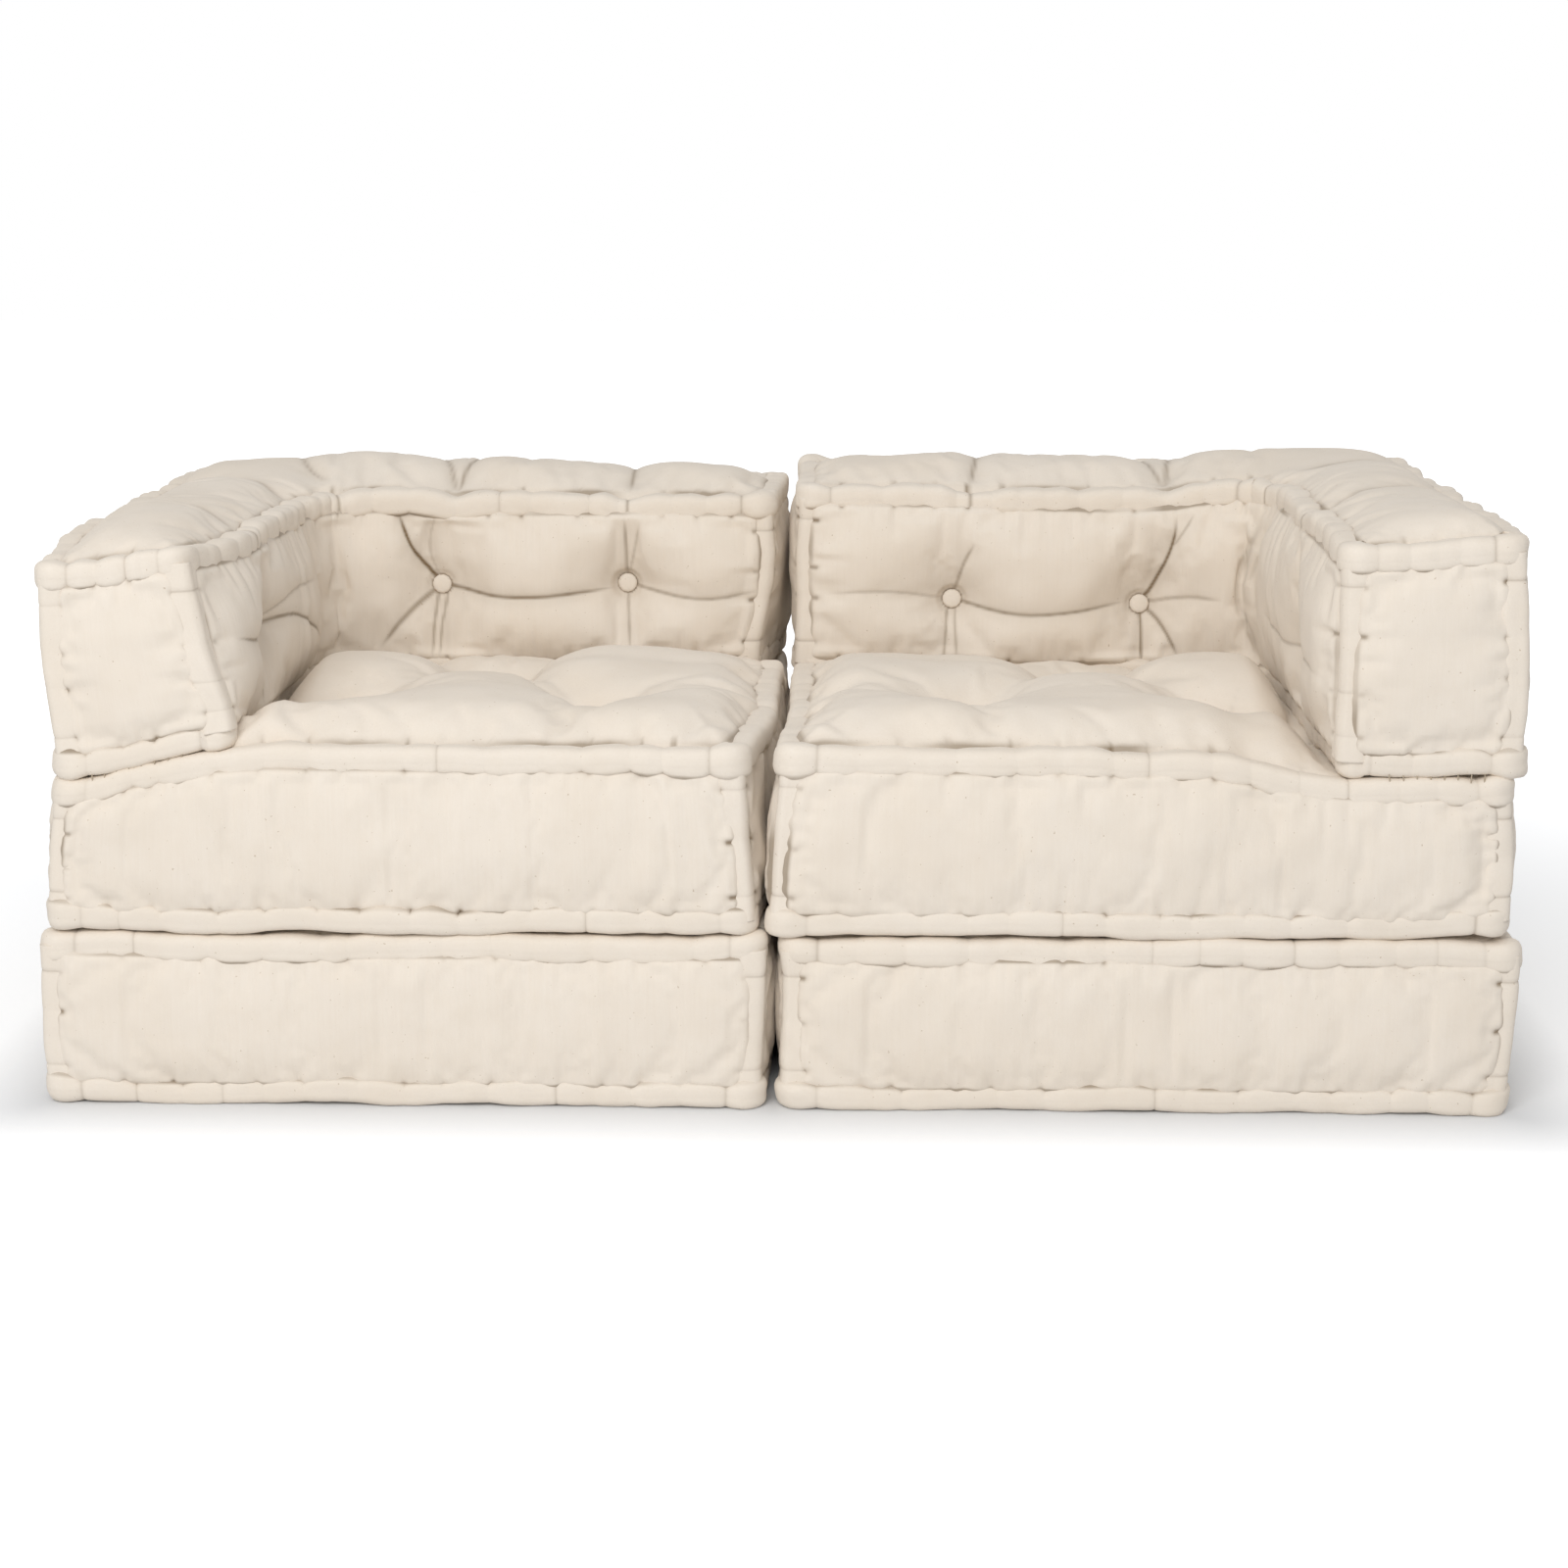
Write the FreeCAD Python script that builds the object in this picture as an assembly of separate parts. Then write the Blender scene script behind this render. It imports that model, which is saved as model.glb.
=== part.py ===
import FreeCAD, Part
import math
import os

# A two-seat modular floor sofa: two corner modules side by side, each a stack of stuffed cotton
# cushions. A square base cushion lies on the floor, a square seat cushion lies on the base, and an
# L-shaped corner cushion, an arm and a back in one, is sewn down on the seat by its lower roll.
# Each cushion is a cover cut as top, bottom and side panels, a rolled welt round its top and its
# bottom edge, an upright roll at each outward corner, and a cotton filling. Twine draws the tufts
# in: between knots in the seat, and between pairs of covered buttons in the corner cushion.
# All sizes are in millimetres. +X is the viewer's right, seen from the front, +Y runs to the rear
# and +Z is up. The origin is on the floor, under the middle of the sofa. The left module is
# modelled, and the right one is its mirror image with a taller corner cushion.

Vec = FreeCAD.Vector

# Module plan
MODULE_WIDTH = 695.0
MODULE_DEPTH = 700.0
MODULE_GAP = 10.0

# Heights of the cushions in the stack
BASE_HEIGHT = 170.0
SEAT_PRESSED_HEIGHT = 156.0
SEAT_FREE_HEIGHT = 181.0
LEFT_CORNER_HEIGHT = 203.0
RIGHT_CORNER_HEIGHT = 221.0
STACK_GAP = 0.3

# Corner cushion plan
ARM_THICKNESS = 185.0
BACK_THICKNESS = 195.0

# Cover cloth
CLOTH_THICKNESS = 2.0
FILLING_GAP = 0.5

# Rolled edges: how far a roll bites into the cushion's edge, and its flat on the floor
ROLL_RADIUS = 14.0
ROLL_BEND_RADIUS = 17.0
ROLL_BITE = 6.0
ROLL_GAP = 0.3
FLOOR_FLAT = 0.5

# Stuffed shape of the sides: drawn in along the rolls, bulged at half height
SIDE_DRAW_IN = 5.0
SIDE_BULGE = 10.0
CORNER_SIDE_BULGE = 17.0
CORNER_BOW = 4.0
PANEL_SEAM_RADIUS = 9.0
HEM_DEPTH = 4.0

# Stuffed shape of the tops: how wide the rise behind a roll is, and how high the crown goes
EDGE_RISE = 42.0
SEAT_CROWN = 12.0
CORNER_CROWN = 9.0

# The seat's climb from under the corner cushion to its free height
SEAT_RISE_START = 12.0
SEAT_RISE_LENGTH = 110.0

# Seat tufts: four at the corners of a rectangle and one in its middle
SEAT_TUFT_INNER = 305.0
SEAT_TUFT_PITCH_X = 127.0
SEAT_TUFT_PITCH_Y = 145.0
SEAT_TUFT_MIDDLE_Y = -5.0
SEAT_TUFT_DEPTH = 26.0
SEAT_TUFT_SPREAD = 55.0
SEAT_UNDER_TUFT_DEPTH = 9.0

# Corner cushion tufts: two in the back, from the inner side, and one in the arm, from the front,
# all at one height above the cushion's bottom
LEFT_TUFT_HEIGHT = 101.5
RIGHT_TUFT_HEIGHT = 86.0
BACK_TUFT_INNER = 173.0
BACK_TUFT_PITCH = 205.0
ARM_TUFT_FRONT = 210.0
CORNER_TUFT_DEPTH = 24.0
CORNER_TUFT_SPREAD = 60.0

# Covered buttons, tufting twine and its knots
BUTTON_RADIUS = 11.0
BUTTON_RIM = 4.0
BUTTON_DOME = 3.0
BUTTON_CLEARANCE = 1.5
TWINE_RADIUS = 1.2
TWINE_CLEARANCE = 0.3
KNOT_RADIUS = 4.0
KNOT_HEIGHT = 3.0

# Stitches that hold the corner cushion down: a close row under the arm's front, tacks elsewhere.
# Each crosses the groove between two rolls from outside, at an angle below and above their middles
STITCH_RADIUS = 0.9
STITCH_CLEARANCE = 0.3
STITCH_ANGLE = math.radians(40)
STITCH_PITCH = 13.0
TACK_PITCH = 62.0

# How far a cutting tool runs past what it cuts
OVERRUN = 30.0

# Shares of a tuft's depth and of its spread, from well outside the cushion to the tuft's floor
TUFT_DEPTH_SHARES = (-1.6, -0.25, 0.15, 0.55, 1.0)
TUFT_SPREAD_SHARES = (2.3, 1.05, 0.72, 0.44, 0.0)

# Shares of a side's height between its rolls, and of its bulge there
SIDE_HEIGHT_SHARES = (0.0, 0.22, 0.5, 0.78, 1.0)
SIDE_BULGE_SHARES = (0.0, 0.68, 1.0, 0.68, 0.0)

# Shares of a rise at which its slope is taken
RISE_SHARES = (0.0, 0.25, 0.6, 1.0)

# Paths: a wide arc's radius as a share of the shorter run beside it, the half turn below which an
# arc is wide, and how flat an arc may be, as a share of its chord, before it is a straight edge
WIDE_BEND_SHARE = 0.45
GENTLE_HALF_TURN = math.pi / 8
STRAIGHT_SHARE = 1e-6

# Places worked out from the sizes above
OUTER_X = -(MODULE_GAP / 2 + MODULE_WIDTH)
INNER_X = -MODULE_GAP / 2
FRONT_Y = -MODULE_DEPTH / 2
REAR_Y = MODULE_DEPTH / 2
ARM_FACE_X = OUTER_X + ARM_THICKNESS
BACK_FACE_Y = REAR_Y - BACK_THICKNESS
SEAT_BOTTOM = BASE_HEIGHT + STACK_GAP
SEAT_PRESSED_TOP = SEAT_BOTTOM + SEAT_PRESSED_HEIGHT
SEAT_FREE_TOP = SEAT_BOTTOM + SEAT_FREE_HEIGHT
CORNER_BOTTOM = SEAT_PRESSED_TOP + STACK_GAP
PANEL_INSET = ROLL_RADIUS + ROLL_BITE


# Wires, tubes and solids

def arc_through(start, middle, end):
    """An arc through three points, or a straight edge where they are in line."""
    chord = end - start
    if (middle - start).cross(chord).Length < chord.Length ** 2 * STRAIGHT_SHARE:
        return Part.makeLine(start, end)
    return Part.Arc(start, middle, end).toShape()


def closed_wire(points):
    """A closed wire of arcs: every second point is the middle of an arc."""
    ring = points + points[:1]
    return Part.Wire([arc_through(*ring[k:k + 3]) for k in range(0, len(points), 2)])


def circle_wire(centre, axis, radius):
    """A circle made of four quarter arcs."""
    quarters = [Part.makeCircle(radius, centre, axis, turn, turn + 90) for turn in (0, 90, 180, 270)]
    return Part.Wire(quarters)


def rod(start, end, radius):
    """A round rod from start to end."""
    along = end - start
    return Part.makeCylinder(radius, along.Length, start, along)


def box_between(low, high):
    """A box by its lowest and highest corners."""
    size = high - low
    return Part.makeBox(size.x, size.y, size.z, low)


def rounded_path(points, sharp_radius, closed=True):
    """Straight runs joined by tangent arcs: sharp_radius at corners, wide arcs at gentle turns."""
    count = len(points)
    turning = range(count) if closed else range(1, count - 1)
    leave, arrive, arcs = {}, {}, {}
    for k in turning:
        back = points[k - 1] - points[k]
        ahead = points[(k + 1) % count] - points[k]
        half_turn = (math.pi - back.getAngle(ahead)) / 2
        wide_radius = WIDE_BEND_SHARE * min(back.Length, ahead.Length) / math.tan(half_turn)
        radius = sharp_radius if half_turn > GENTLE_HALF_TURN else wide_radius
        reach = radius * math.tan(half_turn)
        back.normalize()
        ahead.normalize()
        arrive[k] = points[k] + back * reach
        leave[k] = points[k] + ahead * reach
        inward = (back + ahead).normalize()
        middle = points[k] + inward * (radius / math.cos(half_turn) - radius)
        arcs[k] = Part.Arc(arrive[k], middle, leave[k]).toShape()
    edges = []
    for k in range(count if closed else count - 1):
        target = (k + 1) % count
        edges.append(Part.makeLine(leave.get(k, points[k]), arrive.get(target, points[target])))
        if target in arcs:
            edges.append(arcs[target])
    return Part.Wire(edges)


def start_ring(path, radius):
    """A circle square to a path at its start."""
    start = path.Edges[0]
    parameter = start.FirstParameter
    return circle_wire(start.valueAt(parameter), start.tangentAt(parameter), radius)


def level_path(points):
    """A closed path round a cushion, started away from its corners."""
    return rounded_path(points[1:] + points[:1], ROLL_BEND_RADIUS)


def level_tube(path, radius):
    """A round roll along a closed path round a cushion."""
    sweep = Part.BRepOffsetAPI.MakePipeShell(path)
    sweep.setBiNormalMode(Vec(0, 0, 1))
    sweep.add(start_ring(path, radius))
    sweep.build()
    sweep.makeSolid()
    return sweep.shape().Solids[0]


def upright_tube(points, radius):
    """A round roll along an open path."""
    path = rounded_path(points, ROLL_BEND_RADIUS, False)
    return path.makePipeShell([start_ring(path, radius)], True, False).Solids[0]


def tuft(centre, inward, depth, spread, offset):
    """The hollow that a tuft draws into a cushion, as a solid to cut away."""
    rings = []
    for depth_share, spread_share in zip(TUFT_DEPTH_SHARES, TUFT_SPREAD_SHARES):
        place = centre + inward * (depth * depth_share + offset)
        floor_radius = BUTTON_RADIUS + BUTTON_CLEARANCE
        radius = floor_radius + (spread - floor_radius) * spread_share + offset
        rings.append(circle_wire(place, inward, radius))
    return Part.makeLoft(rings, True, True)


# Shapes of the stuffed cushions. Each body is made at an offset: 0 is the cloth's outer face, a
# positive offset lies inside it and a negative one outside.

def climb(value, start, end):
    """0 before start, 1 after end, and a smooth climb between them."""
    t = min(1.0, max(0.0, (value - start) / (end - start)))
    return t * t * (3 - 2 * t)


def pillow(value, low, high):
    """0 at both ends of a span and 1 inside it, rounded over EDGE_RISE at each end."""
    reach = min(value - low, high - value)
    return math.sin(math.pi / 2 * min(1.0, max(0.0, reach / EDGE_RISE)))


def square_outline(z, inset, draw_in):
    """The module's square plan at a height, each side an arc drawn in at its middle."""
    x0, x1 = OUTER_X + inset, INNER_X - inset
    y0, y1 = FRONT_Y + inset, REAR_Y - inset
    mid_x, mid_y = (x0 + x1) / 2, (y0 + y1) / 2
    return [Vec(x0, y0, z), Vec(mid_x, y0 + draw_in, z), Vec(x1, y0, z), Vec(x1 - draw_in, mid_y, z),
            Vec(x1, y1, z), Vec(mid_x, y1 - draw_in, z), Vec(x0, y1, z), Vec(x0 + draw_in, mid_y, z)]


def corner_outline(z, inset, draw_in):
    """The L-shaped plan at a height: the arm's front, its face, the back's face, end and rear."""
    x0, x1, x2 = OUTER_X + inset, ARM_FACE_X - inset, INNER_X - inset
    y0, y1, y2 = FRONT_Y + inset, BACK_FACE_Y + inset, REAR_Y - inset
    return [Vec(x0, y0, z), Vec((x0 + x1) / 2, y0 + draw_in, z),
            Vec(x1, y0, z), Vec(x1 - draw_in, (y0 + y1) / 2, z),
            Vec(x1, y1, z), Vec((x1 + x2) / 2, y1 + draw_in, z),
            Vec(x2, y1, z), Vec(x2 - draw_in, (y1 + y2) / 2, z),
            Vec(x2, y2, z), Vec((x0 + x2) / 2, y2 - draw_in, z),
            Vec(x0, y2, z), Vec(x0 + draw_in, (y0 + y2) / 2, z)]


def column(outline, low, high, bulge, offset):
    """A cushion's sides: flat below, drawn in at its rolls, bulged between them, open above."""
    lower_roll, upper_roll = low + ROLL_RADIUS, high - ROLL_RADIUS
    levels = [(low + offset, PANEL_INSET + ROLL_RADIUS, SIDE_DRAW_IN)]
    for height_share, bulge_share in zip(SIDE_HEIGHT_SHARES, SIDE_BULGE_SHARES):
        z = lower_roll + (upper_roll - lower_roll) * height_share
        inset = PANEL_INSET - CORNER_BOW * bulge_share
        levels.append((z, inset, SIDE_DRAW_IN * (1 - bulge_share) - bulge * bulge_share))
    levels.append((high + OVERRUN, PANEL_INSET, SIDE_DRAW_IN))
    wires = [closed_wire(outline(z, inset + offset, draw_in)) for z, inset, draw_in in levels]
    return Part.makeLoft(wires, True, False)


def slab(x_stations, y_stations, height, floor):
    """A slab whose top follows height(x, y): a loft along X through arcs in the YZ plane."""
    wires = []
    for x in x_stations:
        top = []
        for y0, y1 in zip(y_stations, y_stations[1:]):
            ends = [Vec(x, y, height(x, y)) for y in (y0, (y0 + y1) / 2, y1)]
            top.append(arc_through(*ends))
        last, first = Vec(x, y_stations[-1], floor), Vec(x, y_stations[0], floor)
        rear = Part.makeLine(top[-1].valueAt(top[-1].LastParameter), last)
        front = Part.makeLine(first, top[0].valueAt(top[0].FirstParameter))
        wires.append(Part.Wire(top + [rear, Part.makeLine(last, first), front]))
    return Part.makeLoft(wires, True, True)


def rises(*spans):
    """The stations of a row of rises, each given by its start and its end."""
    return [start + (end - start) * share for start, end in spans for share in RISE_SHARES]


def stations(low, high, *middle_rises):
    """Stations from end to end of a body: the rise at each end, and any rises between them."""
    edge_low, edge_high = low + PANEL_INSET, high - PANEL_INSET
    falling = [edge_high - EDGE_RISE * share for share in reversed(RISE_SHARES)]
    middle = rises((edge_low, edge_low + EDGE_RISE), *middle_rises)
    return [low - OVERRUN] + middle + falling + [high + OVERRUN]


def seat_level(x, y):
    """The height of the seat's rolls' tops: pressed under the corner cushion, free elsewhere."""
    arm_side = climb(x, ARM_FACE_X + SEAT_RISE_START, ARM_FACE_X + SEAT_RISE_START + SEAT_RISE_LENGTH)
    back_end = BACK_FACE_Y - SEAT_RISE_START
    back_side = 1 - climb(y, back_end - SEAT_RISE_LENGTH, back_end)
    return SEAT_PRESSED_TOP + (SEAT_FREE_TOP - SEAT_PRESSED_TOP) * arm_side * back_side


def seat_freedom(x, y):
    """0 where the corner cushion presses the seat flat, and 1 where the seat is free."""
    return (seat_level(x, y) - SEAT_PRESSED_TOP) / (SEAT_FREE_TOP - SEAT_PRESSED_TOP)


def seat_stations():
    """The places along X and along Y where the seat's top changes its slope."""
    rise_x = ARM_FACE_X + SEAT_RISE_START
    rise_y = BACK_FACE_Y - SEAT_RISE_START
    return (stations(OUTER_X, INNER_X, (rise_x, rise_x + SEAT_RISE_LENGTH)),
            stations(FRONT_Y, REAR_Y, (rise_y - SEAT_RISE_LENGTH, rise_y)))


def seat_tufts():
    """The places of the seat's tufts: at the corners of a rectangle and in its middle."""
    middle = INNER_X - SEAT_TUFT_INNER
    corners = [(middle + i * SEAT_TUFT_PITCH_X, SEAT_TUFT_MIDDLE_Y + j * SEAT_TUFT_PITCH_Y)
               for i in (-1, 1) for j in (-1, 1)]
    return corners + [(middle, SEAT_TUFT_MIDDLE_Y)]


def seat_top(x, y, offset):
    """The height of the seat's cloth, before its tufts."""
    swell = pillow(x, OUTER_X + PANEL_INSET, INNER_X - PANEL_INSET)
    swell *= pillow(y, FRONT_Y + PANEL_INSET, REAR_Y - PANEL_INSET)
    return seat_level(x, y) - ROLL_RADIUS * (1 - swell) + SEAT_CROWN * seat_freedom(x, y) * swell - offset


def base_body(offset):
    """The base cushion's stuffed body: flat above and below, with rounded edges."""
    sides = column(square_outline, 0, BASE_HEIGHT, SIDE_BULGE, offset)

    def base_top(x, y):
        swell = pillow(x, OUTER_X + PANEL_INSET, INNER_X - PANEL_INSET)
        swell *= pillow(y, FRONT_Y + PANEL_INSET, REAR_Y - PANEL_INSET)
        return BASE_HEIGHT - ROLL_RADIUS * (1 - swell) - offset

    return sides.common(slab(stations(OUTER_X, INNER_X), stations(FRONT_Y, REAR_Y), base_top, -OVERRUN))


def seat_body(offset):
    """The seat cushion's stuffed body before its tufts."""
    sides = column(square_outline, SEAT_BOTTOM, SEAT_FREE_TOP, SIDE_BULGE, offset)
    top = slab(*seat_stations(), lambda x, y: seat_top(x, y, offset), SEAT_BOTTOM - OVERRUN)
    return sides.common(top)


def seat_hollows(offset):
    """The hollows of the seat's tufts, above and below."""
    hollows = []
    for x, y in seat_tufts():
        crown, under = Vec(x, y, seat_top(x, y, 0)), Vec(x, y, SEAT_BOTTOM)
        hollows.append(tuft(crown, Vec(0, 0, -1), SEAT_TUFT_DEPTH, SEAT_TUFT_SPREAD, offset))
        hollows.append(tuft(under, Vec(0, 0, 1), SEAT_UNDER_TUFT_DEPTH, SEAT_TUFT_SPREAD / 2, offset))
    return hollows


def vault(x0, x1, y0, y1, top, offset):
    """A crowned top over one leg of the L, down at its rolls and up between them."""
    def height(x, y):
        swell = pillow(x, x0 + PANEL_INSET, x1 - PANEL_INSET) * pillow(y, y0 + PANEL_INSET, y1 - PANEL_INSET)
        return top - ROLL_RADIUS + (ROLL_RADIUS + CORNER_CROWN) * swell - offset

    return slab(stations(x0, x1), stations(y0, y1), height, CORNER_BOTTOM - OVERRUN)


def corner_tufts():
    """Each tuft of the corner cushion: its place in plan on the shown and on the hidden face."""
    arm_y = FRONT_Y + ARM_TUFT_FRONT
    swell = CORNER_SIDE_BULGE + CORNER_BOW - PANEL_INSET
    tufts = [(Vec(ARM_FACE_X + swell, arm_y, 0), Vec(OUTER_X - swell, arm_y, 0))]
    for k in (0, 1):
        x = INNER_X - BACK_TUFT_INNER - k * BACK_TUFT_PITCH
        tufts.append((Vec(x, BACK_FACE_Y - swell, 0), Vec(x, REAR_Y + swell, 0)))
    return tufts


def corner_tuft_floors(tuft_height):
    """Each corner tuft's two hollow floors, where its buttons sit, and the way from one to the other."""
    lift = Vec(0, 0, CORNER_BOTTOM + tuft_height)
    floors = []
    for shown, hidden in corner_tufts():
        way = (hidden - shown).normalize()
        floors.append((shown + lift + way * CORNER_TUFT_DEPTH, hidden + lift - way * CORNER_TUFT_DEPTH, way))
    return floors


def corner_body(height, offset):
    """The corner cushion's stuffed body before its tufts."""
    top = CORNER_BOTTOM + height
    sides = column(corner_outline, CORNER_BOTTOM, top, CORNER_SIDE_BULGE, offset)
    arm = vault(OUTER_X, ARM_FACE_X, FRONT_Y, REAR_Y, top, offset)
    back = vault(OUTER_X, INNER_X, BACK_FACE_Y, REAR_Y, top, offset)
    return sides.common(arm.fuse(back))


def corner_hollows(tuft_height, offset):
    """The hollows of the corner cushion's tufts, on its shown and its hidden faces."""
    hollows = []
    for shown, hidden, way in corner_tuft_floors(tuft_height):
        for floor, inward in ((shown, way), (hidden, way * -1)):
            face = floor - inward * CORNER_TUFT_DEPTH
            hollows.append(tuft(face, inward, CORNER_TUFT_DEPTH, CORNER_TUFT_SPREAD, offset))
    return hollows


# Rolled edges

def roll_inset():
    """How far in from a module's corner the upright rolls stand, at the bend of the level rolls."""
    return ROLL_RADIUS + ROLL_BEND_RADIUS * (1 - math.sqrt(0.5))


def drawn_in(value, low, high):
    """How far a side is drawn in along a roll: most at its middle."""
    share = (2 * value - low - high) / (high - low)
    return SIDE_DRAW_IN * (1 - share * share)


def seat_top_path():
    """The middle of the seat's top roll: pressed under the corner cushion, risen along its free edges."""
    x0, x1 = OUTER_X + ROLL_RADIUS, INNER_X - ROLL_RADIUS
    y0, y1 = FRONT_Y + ROLL_RADIUS, REAR_Y - ROLL_RADIUS
    mid_x, mid_y = (x0 + x1) / 2, (y0 + y1) / 2
    low, high = SEAT_PRESSED_TOP - ROLL_RADIUS, SEAT_FREE_TOP - ROLL_RADIUS
    rise_x = ARM_FACE_X + SEAT_RISE_START
    rise_y = BACK_FACE_Y - SEAT_RISE_START
    points = [Vec(x0, y0, low)]
    for x, z in ((rise_x, low), (rise_x + SEAT_RISE_LENGTH, high)):
        points.append(Vec(x, y0 + drawn_in(x, x0, x1), z))
    points += [Vec(x1, y0, high), Vec(x1 - SIDE_DRAW_IN, mid_y, high)]
    for y, z in ((rise_y - SEAT_RISE_LENGTH, high), (rise_y, low)):
        points.append(Vec(x1 - drawn_in(y, y0, y1), y, z))
    points += [Vec(x1, y1, low), Vec(mid_x, y1 - SIDE_DRAW_IN, low)]
    points += [Vec(x0, y1, low), Vec(x0 + SIDE_DRAW_IN, mid_y, low)]
    return level_path(points)


def plan_path(outline, z):
    """The middle of a roll round a cushion's plan at one height."""
    return level_path(outline(z, ROLL_RADIUS, SIDE_DRAW_IN))


def level_roll(outline, z, radius):
    """A roll round a cushion's plan at one height."""
    return level_tube(plan_path(outline, z), radius)


def upright_rolls(corners, low, body, cutters):
    """An upright roll at each corner, bowed outward at half height, between the level rolls."""
    rolls = []
    for place, outward, high in corners:
        bow = place + outward * CORNER_BOW
        points = [Vec(place.x, place.y, low), Vec(bow.x, bow.y, (low + high) / 2), Vec(place.x, place.y, high)]
        roll = upright_tube(points, ROLL_RADIUS).cut(body)
        for cutter in cutters:
            roll = roll.cut(cutter)
        rolls.append(largest(roll))
    return Part.makeCompound(rolls)


def largest(shape):
    """The largest solid of a shape."""
    return max(shape.Solids, key=lambda solid: solid.Volume)


def square_corners(free_high, pressed_high):
    """The square's four corners: place, way out and the height of the roll above."""
    inset = roll_inset()
    middle = Vec((OUTER_X + INNER_X) / 2, 0, 0)
    corners = []
    for x in (OUTER_X + inset, INNER_X - inset):
        for y in (FRONT_Y + inset, REAR_Y - inset):
            high = free_high if x > middle.x and y < middle.y else pressed_high
            place = Vec(x, y, 0)
            corners.append((place, (place - middle).normalize(), high))
    return corners


def corner_corners(high):
    """The L's five outward corners: place, way out and the height of the roll above."""
    inset = roll_inset()
    x0, x1, x2 = OUTER_X + inset, ARM_FACE_X - inset, INNER_X - inset
    y0, y1, y2 = FRONT_Y + inset, BACK_FACE_Y + inset, REAR_Y - inset
    signs = ((x0, y0, -1, -1), (x1, y0, 1, -1), (x2, y1, 1, -1), (x2, y2, 1, 1), (x0, y2, -1, 1))
    return [(Vec(x, y, 0), Vec(sx, sy, 0).normalize(), high) for x, y, sx, sy in signs]


# Covers and fillings

def cover_panels(outer, inner, below_top, lower_seam, corners):
    """The cover cut at its seams into the top panel, the bottom panel and the side panels."""
    skin = outer.cut(inner)
    below = below_level(lower_seam)
    sides = skin.common(below_top).cut(below)
    for place, _, high in corners:
        foot = Vec(place.x, place.y, lower_seam - OVERRUN)
        head = Vec(place.x, place.y, high + OVERRUN)
        sides = sides.cut(rod(foot, head, PANEL_SEAM_RADIUS))
    return {"top_panel": skin.cut(below_top), "bottom_panel": skin.common(below), "side_panels": sides}


def below_level(z):
    """Everything below a height, wide enough for a module."""
    return box_between(Vec(OUTER_X - OVERRUN, FRONT_Y - OVERRUN, -OVERRUN),
                       Vec(INNER_X + OVERRUN, REAR_Y + OVERRUN, z))


def below_seat_rolls():
    """Everything below the seam of the seat's top panel, but for the tufted middle of the panel."""
    under = slab(*seat_stations(), lambda x, y: seat_level(x, y) - ROLL_RADIUS - HEM_DEPTH, -OVERRUN)
    inset = Vec(PANEL_INSET + EDGE_RISE / 2, PANEL_INSET + EDGE_RISE / 2, 0)
    middle = box_between(Vec(OUTER_X, FRONT_Y, (SEAT_BOTTOM + SEAT_PRESSED_TOP) / 2) + inset,
                         Vec(INNER_X, REAR_Y, SEAT_FREE_TOP + OVERRUN) - inset)
    return under.cut(middle)


# Buttons, twine and stitches

def button(floor, outward):
    """A covered button: a flat back, a round rim and a domed face."""
    apex = Vec(0, 0, BUTTON_RIM + BUTTON_DOME)
    rim = Vec(BUTTON_RADIUS, 0, BUTTON_RIM)
    dome_radius = (BUTTON_RADIUS ** 2 + BUTTON_DOME ** 2) / (2 * BUTTON_DOME)
    half_angle = math.asin(BUTTON_RADIUS / dome_radius) / 2
    sag = Vec(dome_radius * math.sin(half_angle), 0, apex.z - dome_radius * (1 - math.cos(half_angle)))
    centre, foot = Vec(0, 0, 0), Vec(BUTTON_RADIUS, 0, 0)
    edges = [Part.makeLine(centre, foot), Part.makeLine(foot, rim), arc_through(rim, sag, apex),
             Part.makeLine(apex, centre)]
    turned = Part.Face(Part.Wire(edges)).revolve(centre, Vec(0, 0, 1), 360)
    turned.Placement = FreeCAD.Placement(floor, FreeCAD.Rotation(Vec(0, 0, 1), outward))
    return turned


def seat_twine_ends():
    """The floors of each seat tuft's upper and lower hollow."""
    ends = []
    for x, y in seat_tufts():
        upper = Vec(x, y, seat_top(x, y, 0) - SEAT_TUFT_DEPTH)
        ends.append((upper, Vec(x, y, SEAT_BOTTOM + SEAT_UNDER_TUFT_DEPTH)))
    return ends


def knotted_twine(start, end):
    """A length of twine with a flat knot outside the cloth at each end."""
    way = (end - start).normalize()
    knots = [Part.makeCylinder(KNOT_RADIUS, KNOT_HEIGHT, start, way * -1),
             Part.makeCylinder(KNOT_RADIUS, KNOT_HEIGHT, end, way)]
    return rod(start, end, TWINE_RADIUS).fuse(knots)


def needle_holes(ends):
    """The holes that lengths of twine go through in the cloth and the filling."""
    return [rod(start, end, TWINE_RADIUS + TWINE_CLEARANCE) for start, end in ends]


def stitch_places():
    """Where the corner cushion's lower roll is sewn to the seat's upper roll, and the way out."""
    margin = 2 * ROLL_RADIUS + STITCH_PITCH
    row = int((ARM_THICKNESS - 2 * margin) / STITCH_PITCH)
    front = [Vec(OUTER_X + margin + k * STITCH_PITCH, FRONT_Y, 0) for k in range(row + 1)]
    outer = [Vec(OUTER_X, FRONT_Y + k * TACK_PITCH, 0) for k in range(1, int(MODULE_DEPTH / TACK_PITCH))]
    rear = [Vec(OUTER_X + k * TACK_PITCH, REAR_Y, 0) for k in range(1, int(MODULE_WIDTH / TACK_PITCH))]
    sides = ((front, Vec(0, -1, 0)), (outer, Vec(-1, 0, 0)), (rear, Vec(0, 1, 0)))
    return [(place, outward) for places, outward in sides for place in places]


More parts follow.
